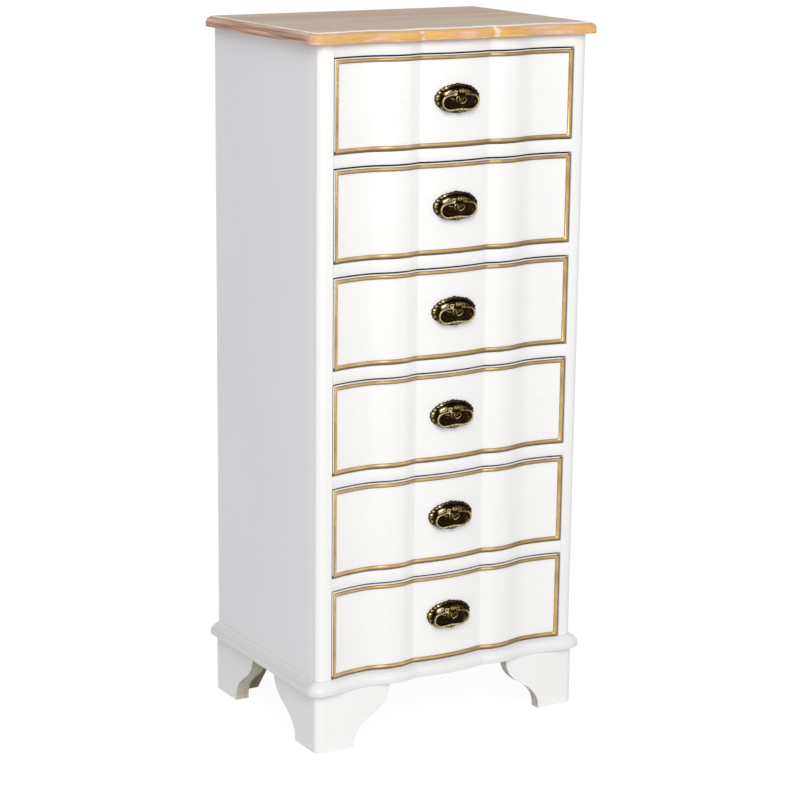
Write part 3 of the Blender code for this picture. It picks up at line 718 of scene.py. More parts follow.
def board_outline(half_width, front_y, radius, inset):
    """Plan of a board with a straight back, rounded front corners and the serpentine front edge."""
    rounding = max(radius - inset, INNER_RADIUS)
    corner_x = half_width - inset - rounding
    corner_y = front_y + inset + rounding
    left = arc((-corner_x, corner_y), rounding, 180, 270, CORNER_STEPS)
    right = arc((corner_x, corner_y), rounding, 270, 360, CORNER_STEPS)
    behind = [corner_y + d for d in SIDE_STATIONS]
    left = [(left[0][0], y) for y in reversed(behind)] + left
    right += [(right[-1][0], y) for y in behind]
    front = [(x, front_y + inset + front_recess(x)) for x in stations(OPENING_HALF)]
    ends = (-(half_width - inset), BACK_Y), (half_width - inset, BACK_Y)
    return [ends[0], *left, *front, *right, ends[1]]


def front_share(number, count):
    """1 for the points of an outline along its front, falling to 0 round the corners to the sides."""
    along = min(number, count - 1 - number) - 1 - len(SIDE_STATIONS)
    return held(sin(radians(90) * held(along / CORNER_STEPS)) / FULL_FRONT)


def moulded_board(name, low, high, radius, profile, material):
    """A board whose front and side edges follow (inset, drop) steps, and its number of points a step."""
    rings = []
    for inset, drop in profile:
        outline = board_outline(high.x, low.y, radius, inset)
        rings.append([(x, y, high.z - drop) for x, y in outline])
    return solid(name, *lofted(rings), [material]), len(rings[0])


def top_profile(thickness):
    """A small fillet, a quirk, a quarter round, a flat nose and a slight undercut, with soft corners."""
    arris = TOP_FILLET_WIDTH + TOP_ROUND_WIDTH
    steps = [(arris + inset, 0.0) for inset in WASH_INSETS]
    steps += [(arris + 2 * ARRIS, 0.0), (arris + ARRIS / 2, 0.0), (arris - ARRIS / 2, ARRIS / 6)]
    steps.append((TOP_ROUND_WIDTH + ARRIS, TOP_FILLET_FALL))
    steps.append((TOP_ROUND_WIDTH + ARRIS / 3, TOP_FILLET_FALL + ARRIS / 2))
    steps.append((TOP_ROUND_WIDTH, TOP_QUIRK_DEPTH))
    for a in [pi / 2 * k / TOP_ROUND_STEPS for k in range(1, TOP_ROUND_STEPS + 1)]:
        drop = TOP_QUIRK_DEPTH + TOP_ROUND_HEIGHT * (1 - cos(a))
        steps.append((TOP_ROUND_WIDTH * (1 - sin(a)), drop))
    for out, rise in arc((TOP_UNDERCUT, TOP_UNDERCUT), TOP_UNDERCUT, 180, 90, 5):
        steps.append((out, thickness - TOP_UNDERCUT + rise - TOP_UNDERCUT))
    return steps


def make_top(looks):
    profile = top_profile(TOP_HIGH.z - TOP_LOW.z)
    wood = looks["washed_wood"]
    mesh, count = moulded_board("top_board", TOP_LOW, TOP_HIGH, TOP_CORNER_RADIUS, profile, wood)
    face_steps = len(WASH_INSETS)
    corner_y = TOP_LOW.y + TOP_CORNER_RADIUS

    def zone(number, place):
        step = number // count
        front = front_share(number % count, count)
        # The wash along the front is partly painted highlight: every wash share fades out round the
        # corners to the sides
        if step < face_steps:
            return (0.0, front, front * WASH_AND_HIGHLIGHT_SHARES[step])
        step -= face_steps
        front = held((corner_y + FRONT_FADE_START - place.y) / FRONT_FADE_LENGTH)
        if step < TOP_ARRIS_STEPS:
            return (0.0, front, 0.08 + 0.17 * step + 0.70 * front)
        if step < TOP_FILLET_STEPS:
            return (1.0, front, 0.60 + 0.40 * front)
        rubbed = 0.72 * bump_at(abs(place.x) - RUBBED_X, RUBBED_WIDTH)
        lower = 0.30 * held((TOP_LOW.z + LOWER_WASH_HEIGHT - place.z) / LOWER_WASH_FADE)
        return (held(0.10 + step / EDGE_COLOUR_STEPS), front, 0.45 * front * max(rubbed, lower))

    piece("top_board", marked(mesh, zone), "carcass", "washed_wood", "top")


def base_profile(thickness):
    """A small ledge, a slightly rounded slope, and a soft nose over a flat underside."""
    ledge = BASE_SLOPE_WIDTH + BASE_LEDGE_WIDTH
    start = BASE_LEDGE_WIDTH / 2
    steps = [(ledge, 0.0), (BASE_SLOPE_WIDTH + ARRIS, ARRIS / 3), (BASE_SLOPE_WIDTH, start)]
    for k in range(1, 10):
        share = k / 10
        swell = BASE_SWELL * sin(pi * share)
        inset = BASE_SLOPE_WIDTH * (1 - share) - swell
        steps.append((inset, start + (BASE_SLOPE_HEIGHT - start) * share - swell))
    for out, rise in arc((BASE_ROUNDING, 0.0), BASE_ROUNDING, 135, 180, 4):
        steps.append((out, BASE_SLOPE_HEIGHT + BASE_ROUNDING - rise))
    soft = BASE_ROUNDING / 2
    for out, rise in arc((soft, 0.0), soft, 180, 270, 4):
        steps.append((out, thickness - soft - rise))
    return steps


def make_base(looks):
    profile = base_profile(BASE_HIGH.z - BASE_LOW.z)
    paint = looks["paint_base"]
    mesh, count = moulded_board("base_moulding", BASE_LOW, BASE_HIGH, BASE_CORNER_RADIUS, profile, paint)

    def zone(number, place):
        step = number // count
        side = 1 - front_share(number % count, count)
        # Painted shade: the whole moulding a little darker, its ledge and its sides more, fading out round
        # the nose
        if step < BASE_LEDGE_STEPS:
            return (0.35 + 0.20 * side,)
        return (0.30 + 0.50 * side * held((BASE_SHADE_END - step) / BASE_SHADE_FADE),)

    piece("base_moulding", marked(mesh, zone), "carcass", "white_paint", "base_board")


def broad_corner(corner_x, corner_y, radius):
    """A front right corner: a broad rounding that meets the side in a soft edge."""
    turn = radians(BROAD_TURN)
    across = corner_x - ARRIS * (1 - sin(turn)) - radius * sin(turn)
    meeting = corner_y + radius - (radius - ARRIS) * cos(turn)
    broad = arc((across, corner_y + radius), radius, 270, 270 + BROAD_TURN, 12)
    return broad + arc((corner_x - ARRIS, meeting), ARRIS, 270 + BROAD_TURN, 360, 4)[1:]


def post_outline(side):
    """Plan of a post: a broadly rounded outer corner and a fine arris at the drawers."""
    low_x = OPENING_HALF
    rounded = broad_corner(CASE_HALF, FACE_Y, POST_ROUNDING)
    fine = arc((low_x + ARRIS, FACE_Y + ARRIS), ARRIS, 180, 270, 4)
    plan = [(low_x, PANEL_FRONT_Y), *fine, *rounded, (CASE_HALF, PANEL_FRONT_Y)]
    return [(side * x, y) for x, y in plan]


def make_posts(looks):
    for word, side in (("left", -1), ("right", 1)):
        outline = upright(post_outline(side), POST_LOW.z, POST_HIGH.z)
        mesh = solid(f"post_{word}", *outline, [looks["paint_upright"]])
        piece(f"post_{word}", mesh, "carcass", "white_paint", f"front_post_{word}")


def rail_rings(low, high):
    """A rail with a fine arris along its serpentine face, notched round the posts where it is wider."""
    steps = [(ARRIS, 0.0), (ARRIS / 3, ARRIS / 3), (0.0, ARRIS)]
    steps += [(inset, high.z - low.z - drop) for inset, drop in reversed(steps)]
    half = OPENING_HALF - FIT
    notch_y = POST_HIGH.y + FIT
    ends = [(half, high.y)]
    if high.x > OPENING_HALF:
        ends = [(half, notch_y), (high.x, notch_y), (high.x, high.y)]
    ends += mirrored(ends)
    rings = []
    for inset, drop in steps:
        plan = [(x, low.y + inset + front_recess(x)) for x in stations(half)] + ends
        rings.append([(x, y, high.z - drop) for x, y in plan])
    return rings


def make_rails(looks):
    rings = rail_rings(RAIL_LOW, RAIL_HIGH)
    mesh = solid("upper_rail", *lofted(rings), [looks["paint_across"]])
    piece("upper_rail", mesh, "carcass", "white_paint", "top_rail")
    rail_height = RAIL_HIGH.z - RAIL_LOW.z
    for number in DRAWERS[:-1]:
        low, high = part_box(f"divider_{number}")
        rail_back = RAIL_HIGH.y
        rail_low = Vector((low.x, low.y, high.z - rail_height))
        rail_high = Vector((high.x, rail_back, high.z))
        rings = rail_rings(rail_low, rail_high)
        mesh = solid(f"rail_{number}", *lofted(rings), [looks["paint_across"]])
        piece(f"rail_{number}", mesh, "carcass", "white_paint", f"divider_{number}")
        plan = [(low.x, rail_back), (high.x, rail_back), (high.x, high.y), (low.x, high.y)]
        board = upright(plan, high.z - DUST_BOARD_THICKNESS, high.z)
        mesh = solid(f"dust_board_{number}", *board, [looks["plywood"]])
        piece(f"dust_board_{number}", mesh, "carcass", "plywood")


# Feet


def ogee(width, height):
    """The S curve under a bracket, from the toe upright to the tip upright, as (out, up) points."""
    steps = [OGEE_TURN * k / 12 for k in range(13)]
    lower = [(1 - cos(t), sin(t)) for t in steps]
    full = 2 * lower[-1][0], 2 * lower[-1][1]
    upper = [(full[0] - x, full[1] - z) for x, z in reversed(lower[:-1])]
    return [(width * x / full[0], height * z / full[1]) for x, z in lower + upper]


def bracket_cut(toe_width, length, height):
    """What is sawn from under a bracket, as (distance from the foot's corner, height) points."""
    beyond = length + toe_width
    below = -TOE_RISE
    above = height + TOE_RISE
    curve = ogee(length - toe_width, height - TOE_RISE - TIP_HEIGHT)
    points = [(toe_width + x, TOE_RISE + z) for x, z in curve]
    return [(toe_width, below), *points, (length, above), (beyond, above), (beyond, below)]


def slanted_cut(height):
    """The plain slanted cut of a bracket along the back."""
    toe, end = BACK_TOE_WIDTH, BACK_SLANT_END
    line = [(toe, -TOE_RISE), (toe, 0.0), (end, height), (end, 2 * height)]
    return [*line, (end + toe, 2 * height), (end + toe, -TOE_RISE)]


def foot_corner(front):
    """The outer corner of a left foot, and which way lies inward from it along Y."""
    if front:
        return -(CASE_HALF + FOOT_OUTSET), FACE_Y - FOOT_OUTSET, 1
    return -(CASE_HALF + FOOT_OUTSET), BACK_Y, -1


def foot_plan(front, side_length):
    """Plan of a left foot: two brackets that meet at a mitre, its outer corner on the left."""
    corner_x, corner_y, inward = foot_corner(front)
    rounded = [(corner_x, corner_y)]
    if front:
        rounded = mirrored(broad_corner(-corner_x, corner_y, FOOT_CORNER_RADIUS))
    near = corner_y + inward * (FRONT_BRACKET_THICKNESS if front else BACK_BRACKET_THICKNESS)
    far = corner_y + inward * (side_length + TOE_RISE)
    inner_x = corner_x + BRACKET_THICKNESS
    end_x = corner_x + BRACKET_LENGTH + TOE_RISE
    return [(corner_x, far), *rounded, (end_x, corner_y), (end_x, near), (inner_x, near), (inner_x, far)]


def prism(outline, along):
    """Points and faces of a flat outline of 3-D points, pushed along a vector."""
    pushed = [Vector(point) + Vector(along) for point in outline]
    return lofted([outline, pushed])


def applied(thing, spent):
    """The thing's mesh after its modifiers. The spent objects are taken away."""
    bpy.context.view_layer.update()
    graph = bpy.context.evaluated_depsgraph_get()
    made = bpy.data.meshes.new_from_object(thing.evaluated_get(graph))
    for one in spent:
        bpy.data.objects.remove(one, do_unlink=True)
    return made


def carved(mesh, tools):
    """The mesh after exact Booleans, given as (operation, mesh) pairs."""
    body = put("body", mesh)
    spent = [body]
    for operation, tool_mesh in tools:
        tool = put("tool", tool_mesh)
        spent.append(tool)
        modifier = body.modifiers.new(operation, "BOOLEAN")
        modifier.operation = operation
        modifier.solver = "EXACT"
        modifier.object = tool
    return applied(body, spent)


def foot_mesh(front, looks):
    """A left foot: mitred brackets with sawn undersides, and a glue block in the corner behind them."""
    side_length = FRONT_SIDE_LENGTH if front else BACK_SIDE_LENGTH
    materials = [looks[name] for name in ("paint_upright", "sawn_wood", "inner_wood")]
    body = solid("foot", *upright(foot_plan(front, side_length), 0.0, FOOT_HEIGHT), materials)
    corner_x, corner_y, inward = foot_corner(front)
    half = BACK_TOE_WIDTH / 2
    through = half + BACK_TOE_WIDTH - FIT
    side_toe = FRONT_SIDE_TOE if front else BACK_SIDE_TOE
    side_shape = bracket_cut(side_toe, side_length, FOOT_HEIGHT)
    face_shape = slanted_cut(FOOT_HEIGHT)
    if front:
        face_shape = bracket_cut(TOE_WIDTH, BRACKET_LENGTH, FOOT_HEIGHT)
    face_line = [(corner_x + s, corner_y - inward * half, z) for s, z in face_shape]
    side_line = [(corner_x - half, corner_y + inward * s, z) for s, z in side_shape]
    face_cut = solid("cut", *prism(face_line, (0, inward * through, 0)), [])
    side_cut = solid("cut", *prism(side_line, (through, 0, 0)), [])
    near = BRACKET_THICKNESS - 2 * FIT
    far = BRACKET_THICKNESS + GLUE_BLOCK_SIZE
    corners = [(near, near), (far, near), (far, far), (near, far)]
    lower = [(corner_x + x, corner_y + inward * y, GLUE_BLOCK_LIFT) for x, y in corners]
    block = solid("block", *prism(lower, (0, 0, FOOT_HEIGHT - GLUE_BLOCK_LIFT)), [])
    return carved(body, [("DIFFERENCE", face_cut), ("DIFFERENCE", side_cut), ("UNION", block)])


def sawn_faces(bm, front):
    """Every face but the painted outer ones is bare wood, darker behind the back brackets."""
    corner_x, corner_y, inward = foot_corner(front)
    for face in bm.faces:
        middle = face.calc_center_median()
        outer_side = middle.x - corner_x < FOOT_CORNER_RADIUS and face.normal.x < -0.1
        out = inward * (middle.y - corner_y)
        outer_face = out < FOOT_CORNER_RADIUS and inward * face.normal.y < -0.1
        behind = not front and middle.y > BACK_Y - BACK_BRACKET_THICKNESS - GLUE_BLOCK_SIZE
        face.material_index = 0 if outer_side or outer_face else 1 + behind


def make_feet(looks):
    for row, front in (("front", True), ("back", False)):
        left = foot_mesh(front, looks)
        for word, side in (("left", 1), ("right", -1)):
            bm = bmesh.new()
            bm.from_mesh(left)
            sawn_faces(bm, front)
            bmesh.ops.transform(bm, matrix=Matrix.Scale(side, 4, (1, 0, 0)), verts=bm.verts)
            bmesh.ops.recalc_face_normals(bm, faces=bm.faces)
            soften(bm, 35)
            mesh = left.copy()
            bm.to_mesh(mesh)
            bm.free()
            mesh.name = f"foot_{row}_{word}"
            piece(f"bracket_foot_{row}_{word}", mesh, "carcass", "white_paint", f"foot_{row}_{word}")


# Drawer fronts


def front_board_mesh(low, high, materials):
    """The serpentine front with its groove. Its edges are painted for a little way, then bare wood,
    darkened as painted shade of the gaps round the front.
    """
    half = high.x
    bottom_low, bottom_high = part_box("drawer_1_bottom")
    lift = bottom_low.z - low.z - FIT
    thick = bottom_high.z - bottom_low.z + 2 * FIT
    depth = FACE_Y + FRONT_THICKNESS - bottom_low.y
    height = high.z - low.z - FRONT_EASE
    edge = BEAD_MARGIN + BEAD_WIDTH / 2
    ends = [half - d for d in (edge, ARRIS, 0.55 * ARRIS, 0.2 * ARRIS, 0.0)]
    inner = [x for x in stations(OPENING_HALF) if abs(x) < half - edge - STATION_STEP / 2]
    places = [-x for x in reversed(ends)] + inner + ends
    back = FACE_Y + FRONT_THICKNESS
    groove = [(back, lift + thick), (back - depth, lift + thick), (back - depth, lift), (back, lift)]
    rear = [(back, height), *groove, (back, 0.0)]
    rings = []
    for x in places:
        near_end = held(1 - (half - abs(x)) / ARRIS)
        face = FACE_Y + front_recess(x) + ARRIS * (1 - sqrt(1 - near_end**2))
        lower = arc((face + ARRIS, ARRIS), ARRIS, 270, 180, 4)
        upper = arc((face + ARRIS, height - ARRIS), ARRIS, 180, 90, 4)
        laps = (face + PAINT_LAP, height), (face + PAINT_LAP, 0.0)
        plan = [*lower, (face, edge), *upper, laps[0], *rear, laps[1]]
        rings.append([(x, y, low.z + z) for y, z in plan])
    mesh = solid("front_board", *lofted(rings), materials)
    for polygon in mesh.polygons:
        depth = polygon.center.y - FACE_Y - front_recess(polygon.center.x)
        if depth > PAINT_LAP:
            polygon.material_index = 1
        # The margins below and right of the bead take gilt darkened as painted shade of the bead
        elif depth < ARRIS and (polygon.center.z < low.z + edge or polygon.center.x > half - edge):
            polygon.material_index = 2
    return marked(mesh, lambda number, place: (0.85, 0.5))


def gilt_highlight(x):
    """Painted highlight on the gilding: most where the front turns left, towards the light, least where it
    turns right.
    """
    slope = (front_recess(x + SLOPE_REACH) - front_recess(x - SLOPE_REACH)) / (2 * SLOPE_REACH)
    return 0.5 * min(1.22, 1.02 - 1.25 * x - 0.95 * slope)


def bead_mesh(low, high, gold):
    """A half round bead along the edge of the front, mitred at its corners."""
    angles = [pi * k / 12 for k in range(13)]
    profile = [(BEAD_WIDTH / 2 * (1 - cos(a)), BEAD_HEIGHT * sin(a)) for a in angles]
    profile = [(0.0, -BEAD_ROOT), *profile, (BEAD_WIDTH, -BEAD_ROOT)]
    half = high.x
    field_half = half - BEAD_MARGIN - BEAD_WIDTH
    field = [x for x in stations(OPENING_HALF) if abs(x) < field_half - STATION_STEP / 2]
    rings = []
    for out, rise in profile:
        inset = BEAD_MARGIN + out
        places = [inset - half, *field, half - inset]
        line = [(x, FACE_Y + front_recess(x) - rise) for x in places]
        over = [(x, y, high.z - inset) for x, y in line]
        below = [(x, y, low.z + inset) for x, y in reversed(line)]
        rings.append(over + below)
    count = len(rings[0])
    mesh = solid("bead", *lofted(rings, joined=True), [gold], sharp=50)
    middle = (low.z + high.z) / 2

    # Painted shade: each bead darkens at its edges, most on its lower side, and the right upright bead
    # more than the left
    def zone(number, place):
        across = held(profile[number // count][0] / BEAD_WIDTH)
        highlight = gilt_highlight(place.x)
        if abs(place.x) > field_half:
            dark = 0.35 if place.x < 0 else 0.75
            gilt_shade = max(dark * held(1.15 - across / 0.3), 0.2 * held(across / 0.2 - 4))
            return (gilt_shade, highlight)
        lower = across if place.z > middle else 1 - across
        top_dark, low_dark = (0.75, 0.95) if place.z > middle else (0.45, 0.80)
        gilt_shade = max(low_dark * held(lower / 0.35 - 1.5), top_dark * held(1.2 - lower / 0.2))
        return (gilt_shade, highlight)

    return marked(mesh, zone)


def make_drawer_fronts(looks):
    """The six fronts are alike, so one mesh is made for the first and set down for each."""
    low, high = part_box("drawer_1_front")
    board = front_board_mesh(low, high, [looks["paint_across"], looks["gap_shaded_edge_wood"], looks["gilt"]])
    bead = bead_mesh(low, high, looks["gilt"])
    for number in DRAWERS:
        body = f"drawer_{number}"
        node = f"drawer_{number}_front"
        place = (0.0, 0.0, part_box(f"drawer_{number}_front")[0].z - low.z)
        piece(f"front_board_{number}", board.copy(), body, "beaded_paint", node, location=place)
        piece(f"bead_{number}", bead.copy(), body, "beaded_paint", location=place)


DRAWER_LOOKS = {
    "side_left": "wood_along", "side_right": "wood_along",
    "back": "wood_across", "bottom": "plywood",
}


def assign_finishes(looks):
    """Looks for the frame's own nodes that stay in view."""
    kinds = {"back_panel": "back_board"}
    kinds |= {f"side_panel_{word}": "paint_side" for word in ("left", "right")}
    for number in DRAWERS:
        kinds |= {f"drawer_{number}_{part}": look for part, look in DRAWER_LOOKS.items()}
    for node, look in kinds.items():
        data = frame["nodes"][node].data
        data.materials.clear()
        data.materials.append(looks[look])


# Handles


def bump_at(distance, width):
    """1 at no distance, falling softly to 0 beyond the width."""
    return exp(-((distance / width) ** 2))


def from_finial(turn):
    """Angle from the finial at the plate's top, the same to either side."""
    return min(turn, 2 * pi - turn)


def leaf_wave(turn, across):
    """Overlapping leaves along the rim, 0 between two and 1 on a rib, and a plain roll below."""
    along = degrees(from_finial(turn)) + LEAF_SLANT * across
    for start, end in zip(LEAF_ENDS, LEAF_ENDS[1:]):
        if along < end:
            break
    share = held((along - start) / (end - start))
    leaf = sin(pi * share**0.6) ** 0.8
    plain = held((along - PLAIN_START) / PLAIN_FADE)
    return leaf + (0.7 - leaf) * plain


def rim_width(turn):
    """The rim is broad at the plate's two ends and narrow below."""
    along = from_finial(turn)
    ends = 0.55 * bump_at(along - RIM_BROAD_AT, RIM_BROAD_SPREAD)
    return RIM_WIDTH * (1 + ends + 0.2 * bump_at(along, RIM_TOP_SPREAD))


def knob_at(turn):
    along = from_finial(turn)
    return sum(bump_at(along - radians(mark), KNOB_SPREAD) for mark in KNOB_TURNS)


def plate_edge(turn):
    """How far the leafy outline stands in from, or out of, the plain oval."""
    out = PLATE_FINIAL * bump_at(from_finial(turn), FINIAL_SPREAD) + KNOB_OUT * knob_at(turn)
    return LEAF_NOTCH * (1 - leaf_wave(turn, 0.0)) - out


def oval_place(turn, inset, shrink):
    """A place on the plate: inset from its plain oval, then drawn in towards the middle."""
    x = (PLATE_WIDTH / 2 - inset) * shrink * sin(turn)
    return x, (PLATE_HEIGHT / 2 - inset) * shrink * cos(turn)


def rim_relief(turn, across):
    """Height and brightness of the rim, from its outer edge at 0 to the field at 1."""
    along = from_finial(turn)
    leaf = leaf_wave(turn, across)
    swell = sin(pi * held(0.15 + 0.85 * across))
    height = RIM_BASE + RIM_SWELL * swell * (0.6 + 0.4 * leaf)
    height += FINIAL_RELIEF * bump_at(along, radians(12)) * (0.5 + 0.5 * cos(along * 26)) * swell
    knob = knob_at(turn) * bump_at(across - 0.35, 0.3)
    outer = bump_at(across - 0.12, 0.12) * (0.5 + 0.5 * leaf)
    uneven = 0.70 + 0.9 * noise.noise(Vector((4 * cos(turn), 4 * sin(turn), 7.0)))
    # Painted highlight: the rim is brighter on its left, towards the light, as well as unevenly worn
    worn = held(0.42 - 0.9 * sin(turn), 0.30, 1.0) * held(uneven, 0.3, 1.0)
    bright = 0.80 * swell**2 * (0.25 + 0.75 * leaf**2) + 0.30 * outer + 0.45 * knob
    return height + KNOB_RELIEF * knob, held(0.10 + worn * bright)


def field_relief(inward, x, z):
    """Height and brightness of the field: a fillet, two lobes, the left one with a painted reflection, and
    a low boss.
    """
    fillet = bump_at(inward - 0.16, 0.08)
    out = abs(x) - LOBE_X
    up = z - LOBE_Z + LOBE_TILT * out
    lobe = bump_at(hypot(out / LOBE_RADII[0], up / LOBE_RADII[1]), 1.0)
    height = FIELD_HEIGHT + FILLET_RELIEF * fillet + LOBE_HEIGHT * lobe
    # Painted reflection of the light on the left lobe, faint on the right one
    highlight = 0.82 * held(2.8 * lobe - 0.9) if x < 0 else 0.22 * lobe
    boss = bump_at(hypot((x - BOSS_X) / BOSS_RADII[0], (z - BOSS_Z) / BOSS_RADII[1]), 1.0)
    worn = held(0.5 + 1.3 * noise.noise(Vector((x, z, 0.0)) * 420))
    bright = 0.22 * fillet + highlight + boss * (0.22 + 0.40 * worn)
    return height + BOSS_RELIEF * boss, held(bright)


def plate_mesh(brass):
    """The cast plate as rings from the back's middle, over the edge, and in to the front's middle."""
    points = []
    marks = []
    for share in (0.02, 0.5, 1.0):
        for turn in turns(PLATE_TURNS):
            x, z = oval_place(turn, plate_edge(turn), share)
            points.append((x, front_recess(x) - FIT, z))
            marks.append(0.0)
    rim = [k / RIM_STEPS for k in range(RIM_STEPS)]
    field = [1 + k / FIELD_STEPS for k in range(FIELD_STEPS)]
    for across in rim + field:
        for turn in turns(PLATE_TURNS):
            inset = plate_edge(turn) * held(1 - across / 0.7) + rim_width(turn) * min(across, 1.0)
            x, z = oval_place(turn, inset, min(1.0, 2.0 - across))
            if across < 1.0:
                height, bright = rim_relief(turn, across)
            else:
                height, bright = field_relief(across - 1.0, x, z)
            points.append((x, front_recess(x) - FIT - height, z))
            marks.append(bright)
    rings = [points[k : k + PLATE_TURNS] for k in range(0, len(points), PLATE_TURNS)]
    mesh = solid("handle_plate", *lofted(rings), [brass], sharp=80)
    return marked(mesh, lambda number, place: (marks[number],))


def smooth_spans(points, steps):
    """Steps along a smooth line, span by span, from the second point to the last but one."""
    for before, start, stop, after in zip(points, points[1:], points[2:], points[3:]):
        first = start + (stop - before) / 6
        second = stop - (after - start) / 6
        yield interpolate_bezier(start, first, second, stop, steps + 1)[1:]


def field_rib(knots, brass):
    """A rib on the field, dark at its sides and rubbed bright along its crest."""
    ends = [Vector(knot) for knot in (knots[0], *knots, knots[-1])]
    line = []
    for x, z, radius in [ends[0], *chain(*smooth_spans(ends, 6))]:
        line.append((Vector((x, front_recess(x) - FIT - FIELD_HEIGHT - 0.9 * radius, z)), radius))
    rib = solid("rib", *tube(line), [brass], sharp=80)

    def zone(number, place):
        ground = front_recess(place.x) - FIT - FIELD_HEIGHT
        worn = held(0.85 + 0.9 * noise.noise(place * 330), 0.4, 1.0)
        return (0.12 + 0.72 * worn * held((ground - place.y) / RIB_RISE - 0.15) ** 2,)

    return marked(rib, zone)


def turned_bar(profile, centre, sides=20):
    """Rings along X from (place, radius) steps."""
    middle_x, middle_y, middle_z = centre
    rings = []
    for x, radius in profile:
        round_x = [(middle_y + radius * cos(a), middle_z + radius * sin(a)) for a in turns(sides)]
        rings.append([(middle_x + x, y, z) for y, z in round_x])
    return rings


def joined(meshes, name):
    """Several meshes as one, with their zone colours."""
    things = [put(name, mesh) for mesh in meshes]
    with bpy.context.temp_override(active_object=things[0], selected_editable_objects=things):
        bpy.ops.object.join()
    made = things[0].data
    bpy.data.objects.remove(things[0], do_unlink=True)
    return made


def knuckle_mesh(pivot_y, pivot_z, brass):
    """The bored barrel that holds the bail, collared at each end, on a neck that flares to the plate."""
    half = KNUCKLE_LENGTH / 2
    outer = [(along - half, radius) for along, radius in KNUCKLE_STEPS]
    outer += [(-x, radius) for x, radius in reversed(outer[:-1])]
    bore = [(half, BORE_RADIUS), (-half, BORE_RADIUS)]
    bar = turned_bar(outer + bore, (0, pivot_y, pivot_z))
    barrel = solid("barrel", *lofted(bar, joined=True), [brass])
    rings = []
    for share, wide, tall in NECK_RINGS:
        y = -FIT - NECK_SINK + share * (pivot_y + FIT + NECK_SINK)
        rings.append([(wide * cos(a), y, pivot_z + tall * sin(a)) for a in turns(24)])
    neck = solid("neck", *lofted(rings), [brass])
    rise = 0.35 / KNUCKLE_RISE
    marked(barrel, lambda number, place: (held(0.30 + rise * (pivot_y - place.y)),))
    marked(neck, lambda number, place: (0.25,))
    return joined([barrel, neck], "knuckle")


def tube(line, sides=14):
    """Points and faces of a round bar along (point, radius) steps."""
    points = [point for point, radius in line]
    rings = []
    side = Vector((0, -1, 0))
    for k, (point, radius) in enumerate(line):
        ahead = (points[min(k + 1, len(points) - 1)] - points[max(k - 1, 0)]).normalized()
        side = (side - side.dot(ahead) * ahead).normalized()
        other = ahead.cross(side)
        rings.append([tuple(point + radius * (cos(a) * side + sin(a) * other)) for a in turns(sides)])
    return lofted(rings)


def bail_line():
    """Right half of the bail, scroll to middle of the grip, as (point, radius) steps from its pivot."""
    shoulder = KNUCKLE_LENGTH / 2 + BAIL_SHOULDER
    span = BAIL_WIDTH / 2 - shoulder
    knots = [Vector((shoulder + a * span, -BAIL_STANDOFF * b, -b * BAIL_DROP)) for a, b in BAIL_ROUTE]
    knots.append(Vector((0.0, -BAIL_STANDOFF, -BAIL_DROP * GRIP_SHARE)))
    mirror = knots[-2] * Vector((-1, 1, 1))
    centre = Vector((SCROLL_X, 0.0, SCROLL_Z))
    line = []
    for k in range(SCROLL_STEPS):
        share = k / SCROLL_STEPS
        turn = SCROLL_START + (SCROLL_END - SCROLL_START) * share
        out = SCROLL_RADIUS * (0.12 + 0.88 * share)
        point = centre + out * Vector((cos(turn), -0.1 * (1 - share), sin(turn)))
        line.append((point, TIP_RADIUS + TIP_GROWTH * share))
    route = [line[-4][0], line[-1][0], *knots[1:], mirror]
    for k, steps in enumerate(smooth_spans(route, 8)):
        for n, point in enumerate(steps):
            share = held((k + (n + 1) / len(steps)) / 3)
            line.append((point, BAIL_RADIUS + BAIL_GROWTH * share))
    return line


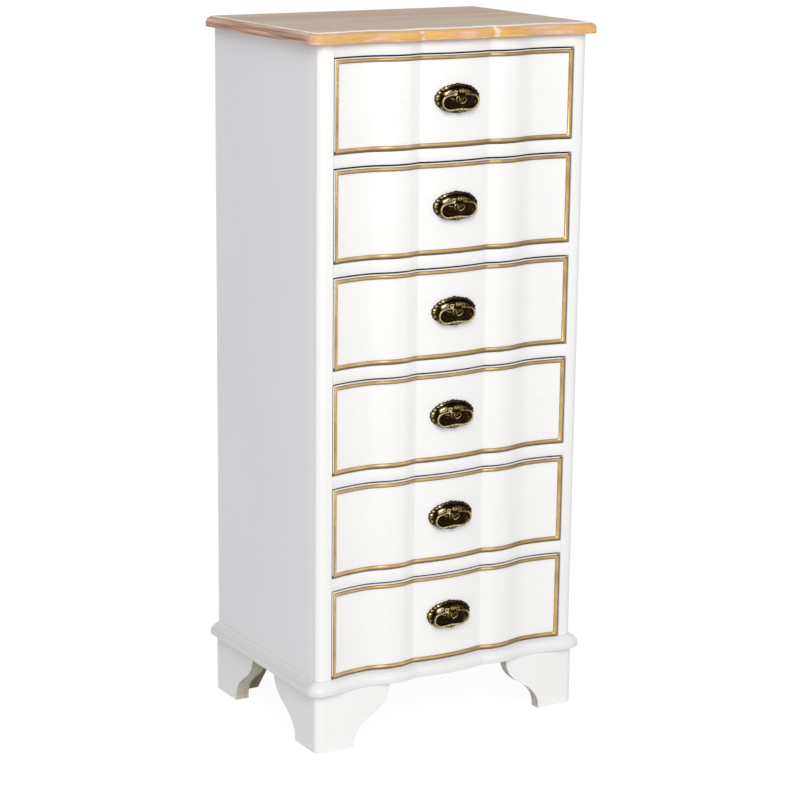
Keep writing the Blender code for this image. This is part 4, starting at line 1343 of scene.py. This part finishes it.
def bail_mesh(brass):
    """The swing bail: two scrolled shoulders with pins, two lobes, and beads and leaves on the grip."""
    right = bail_line()
    left = [(point * Vector((-1, 1, 1)), radius) for point, radius in reversed(right[:-1])]
    meshes = [solid("bar", *tube(right + left), [brass], sharp=80)]
    half = KNUCKLE_LENGTH / 2
    root = half + BAIL_SHOULDER + PIN_OVERLAP
    steps = [(PIN_INNER_X, PIN_RADIUS), (half + FIT, PIN_RADIUS), (root, PIN_ROOT_RADIUS)]
    for side in (-1, 1):
        pin = [(side * x, radius) for x, radius in steps]
        meshes.append(solid("pin", *lofted(turned_bar(pin, (0, 0, 0))), [brass]))
    grip = right[-1][0]
    for x, z, size in GRIP_BEADS:
        for side in (-1, 1) if x else (1,):
            meshes.append(bead_ball(grip + Vector((side * x, GRIP_BEAD_BACK, z)), size, brass))
    bail = remesh(joined(meshes, "bail"), BAIL_VOXEL)

    def zone(number, place):
        mottle = 0.16 * noise.noise(place * 380)
        ornament = bump_at(place.x, 0.009) * held((grip.z - place.z) / 0.003)
        crest = held(-bail.vertices[number].normal.y) ** 3
        # Painted shade on the bail's right shoulder
        shaded = 0.25 * held(place.x / 0.006) * held((place.z + 0.012) / 0.006)
        return (held(0.24 + 0.64 * crest - 0.22 * ornament - shaded + mottle),)

    return marked(bail, zone)


def bead_ball(centre, radius, brass):
    profile = [(-radius * cos(pi * k / 10), radius * sin(pi * k / 10)) for k in range(1, 10)]
    return solid("ball", *lofted(turned_bar(profile, centre, 16)), [brass], sharp=80)


def remesh(mesh, size):
    """Fuses the mesh's overlapping bodies into one soft casting."""
    thing = put("casting", mesh)
    modifier = thing.modifiers.new("fuse", "REMESH")
    modifier.mode = "VOXEL"
    modifier.voxel_size = size
    modifier.use_smooth_shade = True
    soft = thing.modifiers.new("soften", "SMOOTH")
    soft.factor = 0.5
    soft.iterations = 3
    return applied(thing, [thing])


def make_handles(looks):
    """One plate with its knuckle and one bail, set down on each drawer."""
    brass = looks["dark_brass"]
    pivot = PIVOTS["bail_1"]
    centre_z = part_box("drawer_1_handle_plate")[0].z + PLATE_HEIGHT / 2
    plate = plate_mesh(brass)
    knuckle = knuckle_mesh(pivot.y - FACE_Y, pivot.z - centre_z, brass)
    ribs = [field_rib(knots, brass) for knots in FIELD_RIBS]
    casting = joined([plate, knuckle, *ribs], "handle_plate")
    bail = bail_mesh(brass)
    for number in DRAWERS:
        hinge = PIVOTS[f"bail_{number}"]
        place = (0.0, FACE_Y, hinge.z - pivot.z + centre_z)
        drawer = f"drawer_{number}"
        node = f"{drawer}_handle_plate"
        piece(f"handle_plate_{number}", casting.copy(), drawer, "dark_brass", node, location=place)
        node = f"{drawer}_bail"
        piece(f"swing_bail_{number}", bail.copy(), f"bail_{number}", "dark_brass", node, location=hinge)


make_camera()
make_lamps()
make_world()
make_floor()
looks = make_materials()
make_top(looks)
make_base(looks)
make_posts(looks)
make_rails(looks)
make_feet(looks)
make_drawer_fronts(looks)
assign_finishes(looks)
make_handles(looks)

bpy.context.scene.view_settings.view_transform = "Standard"
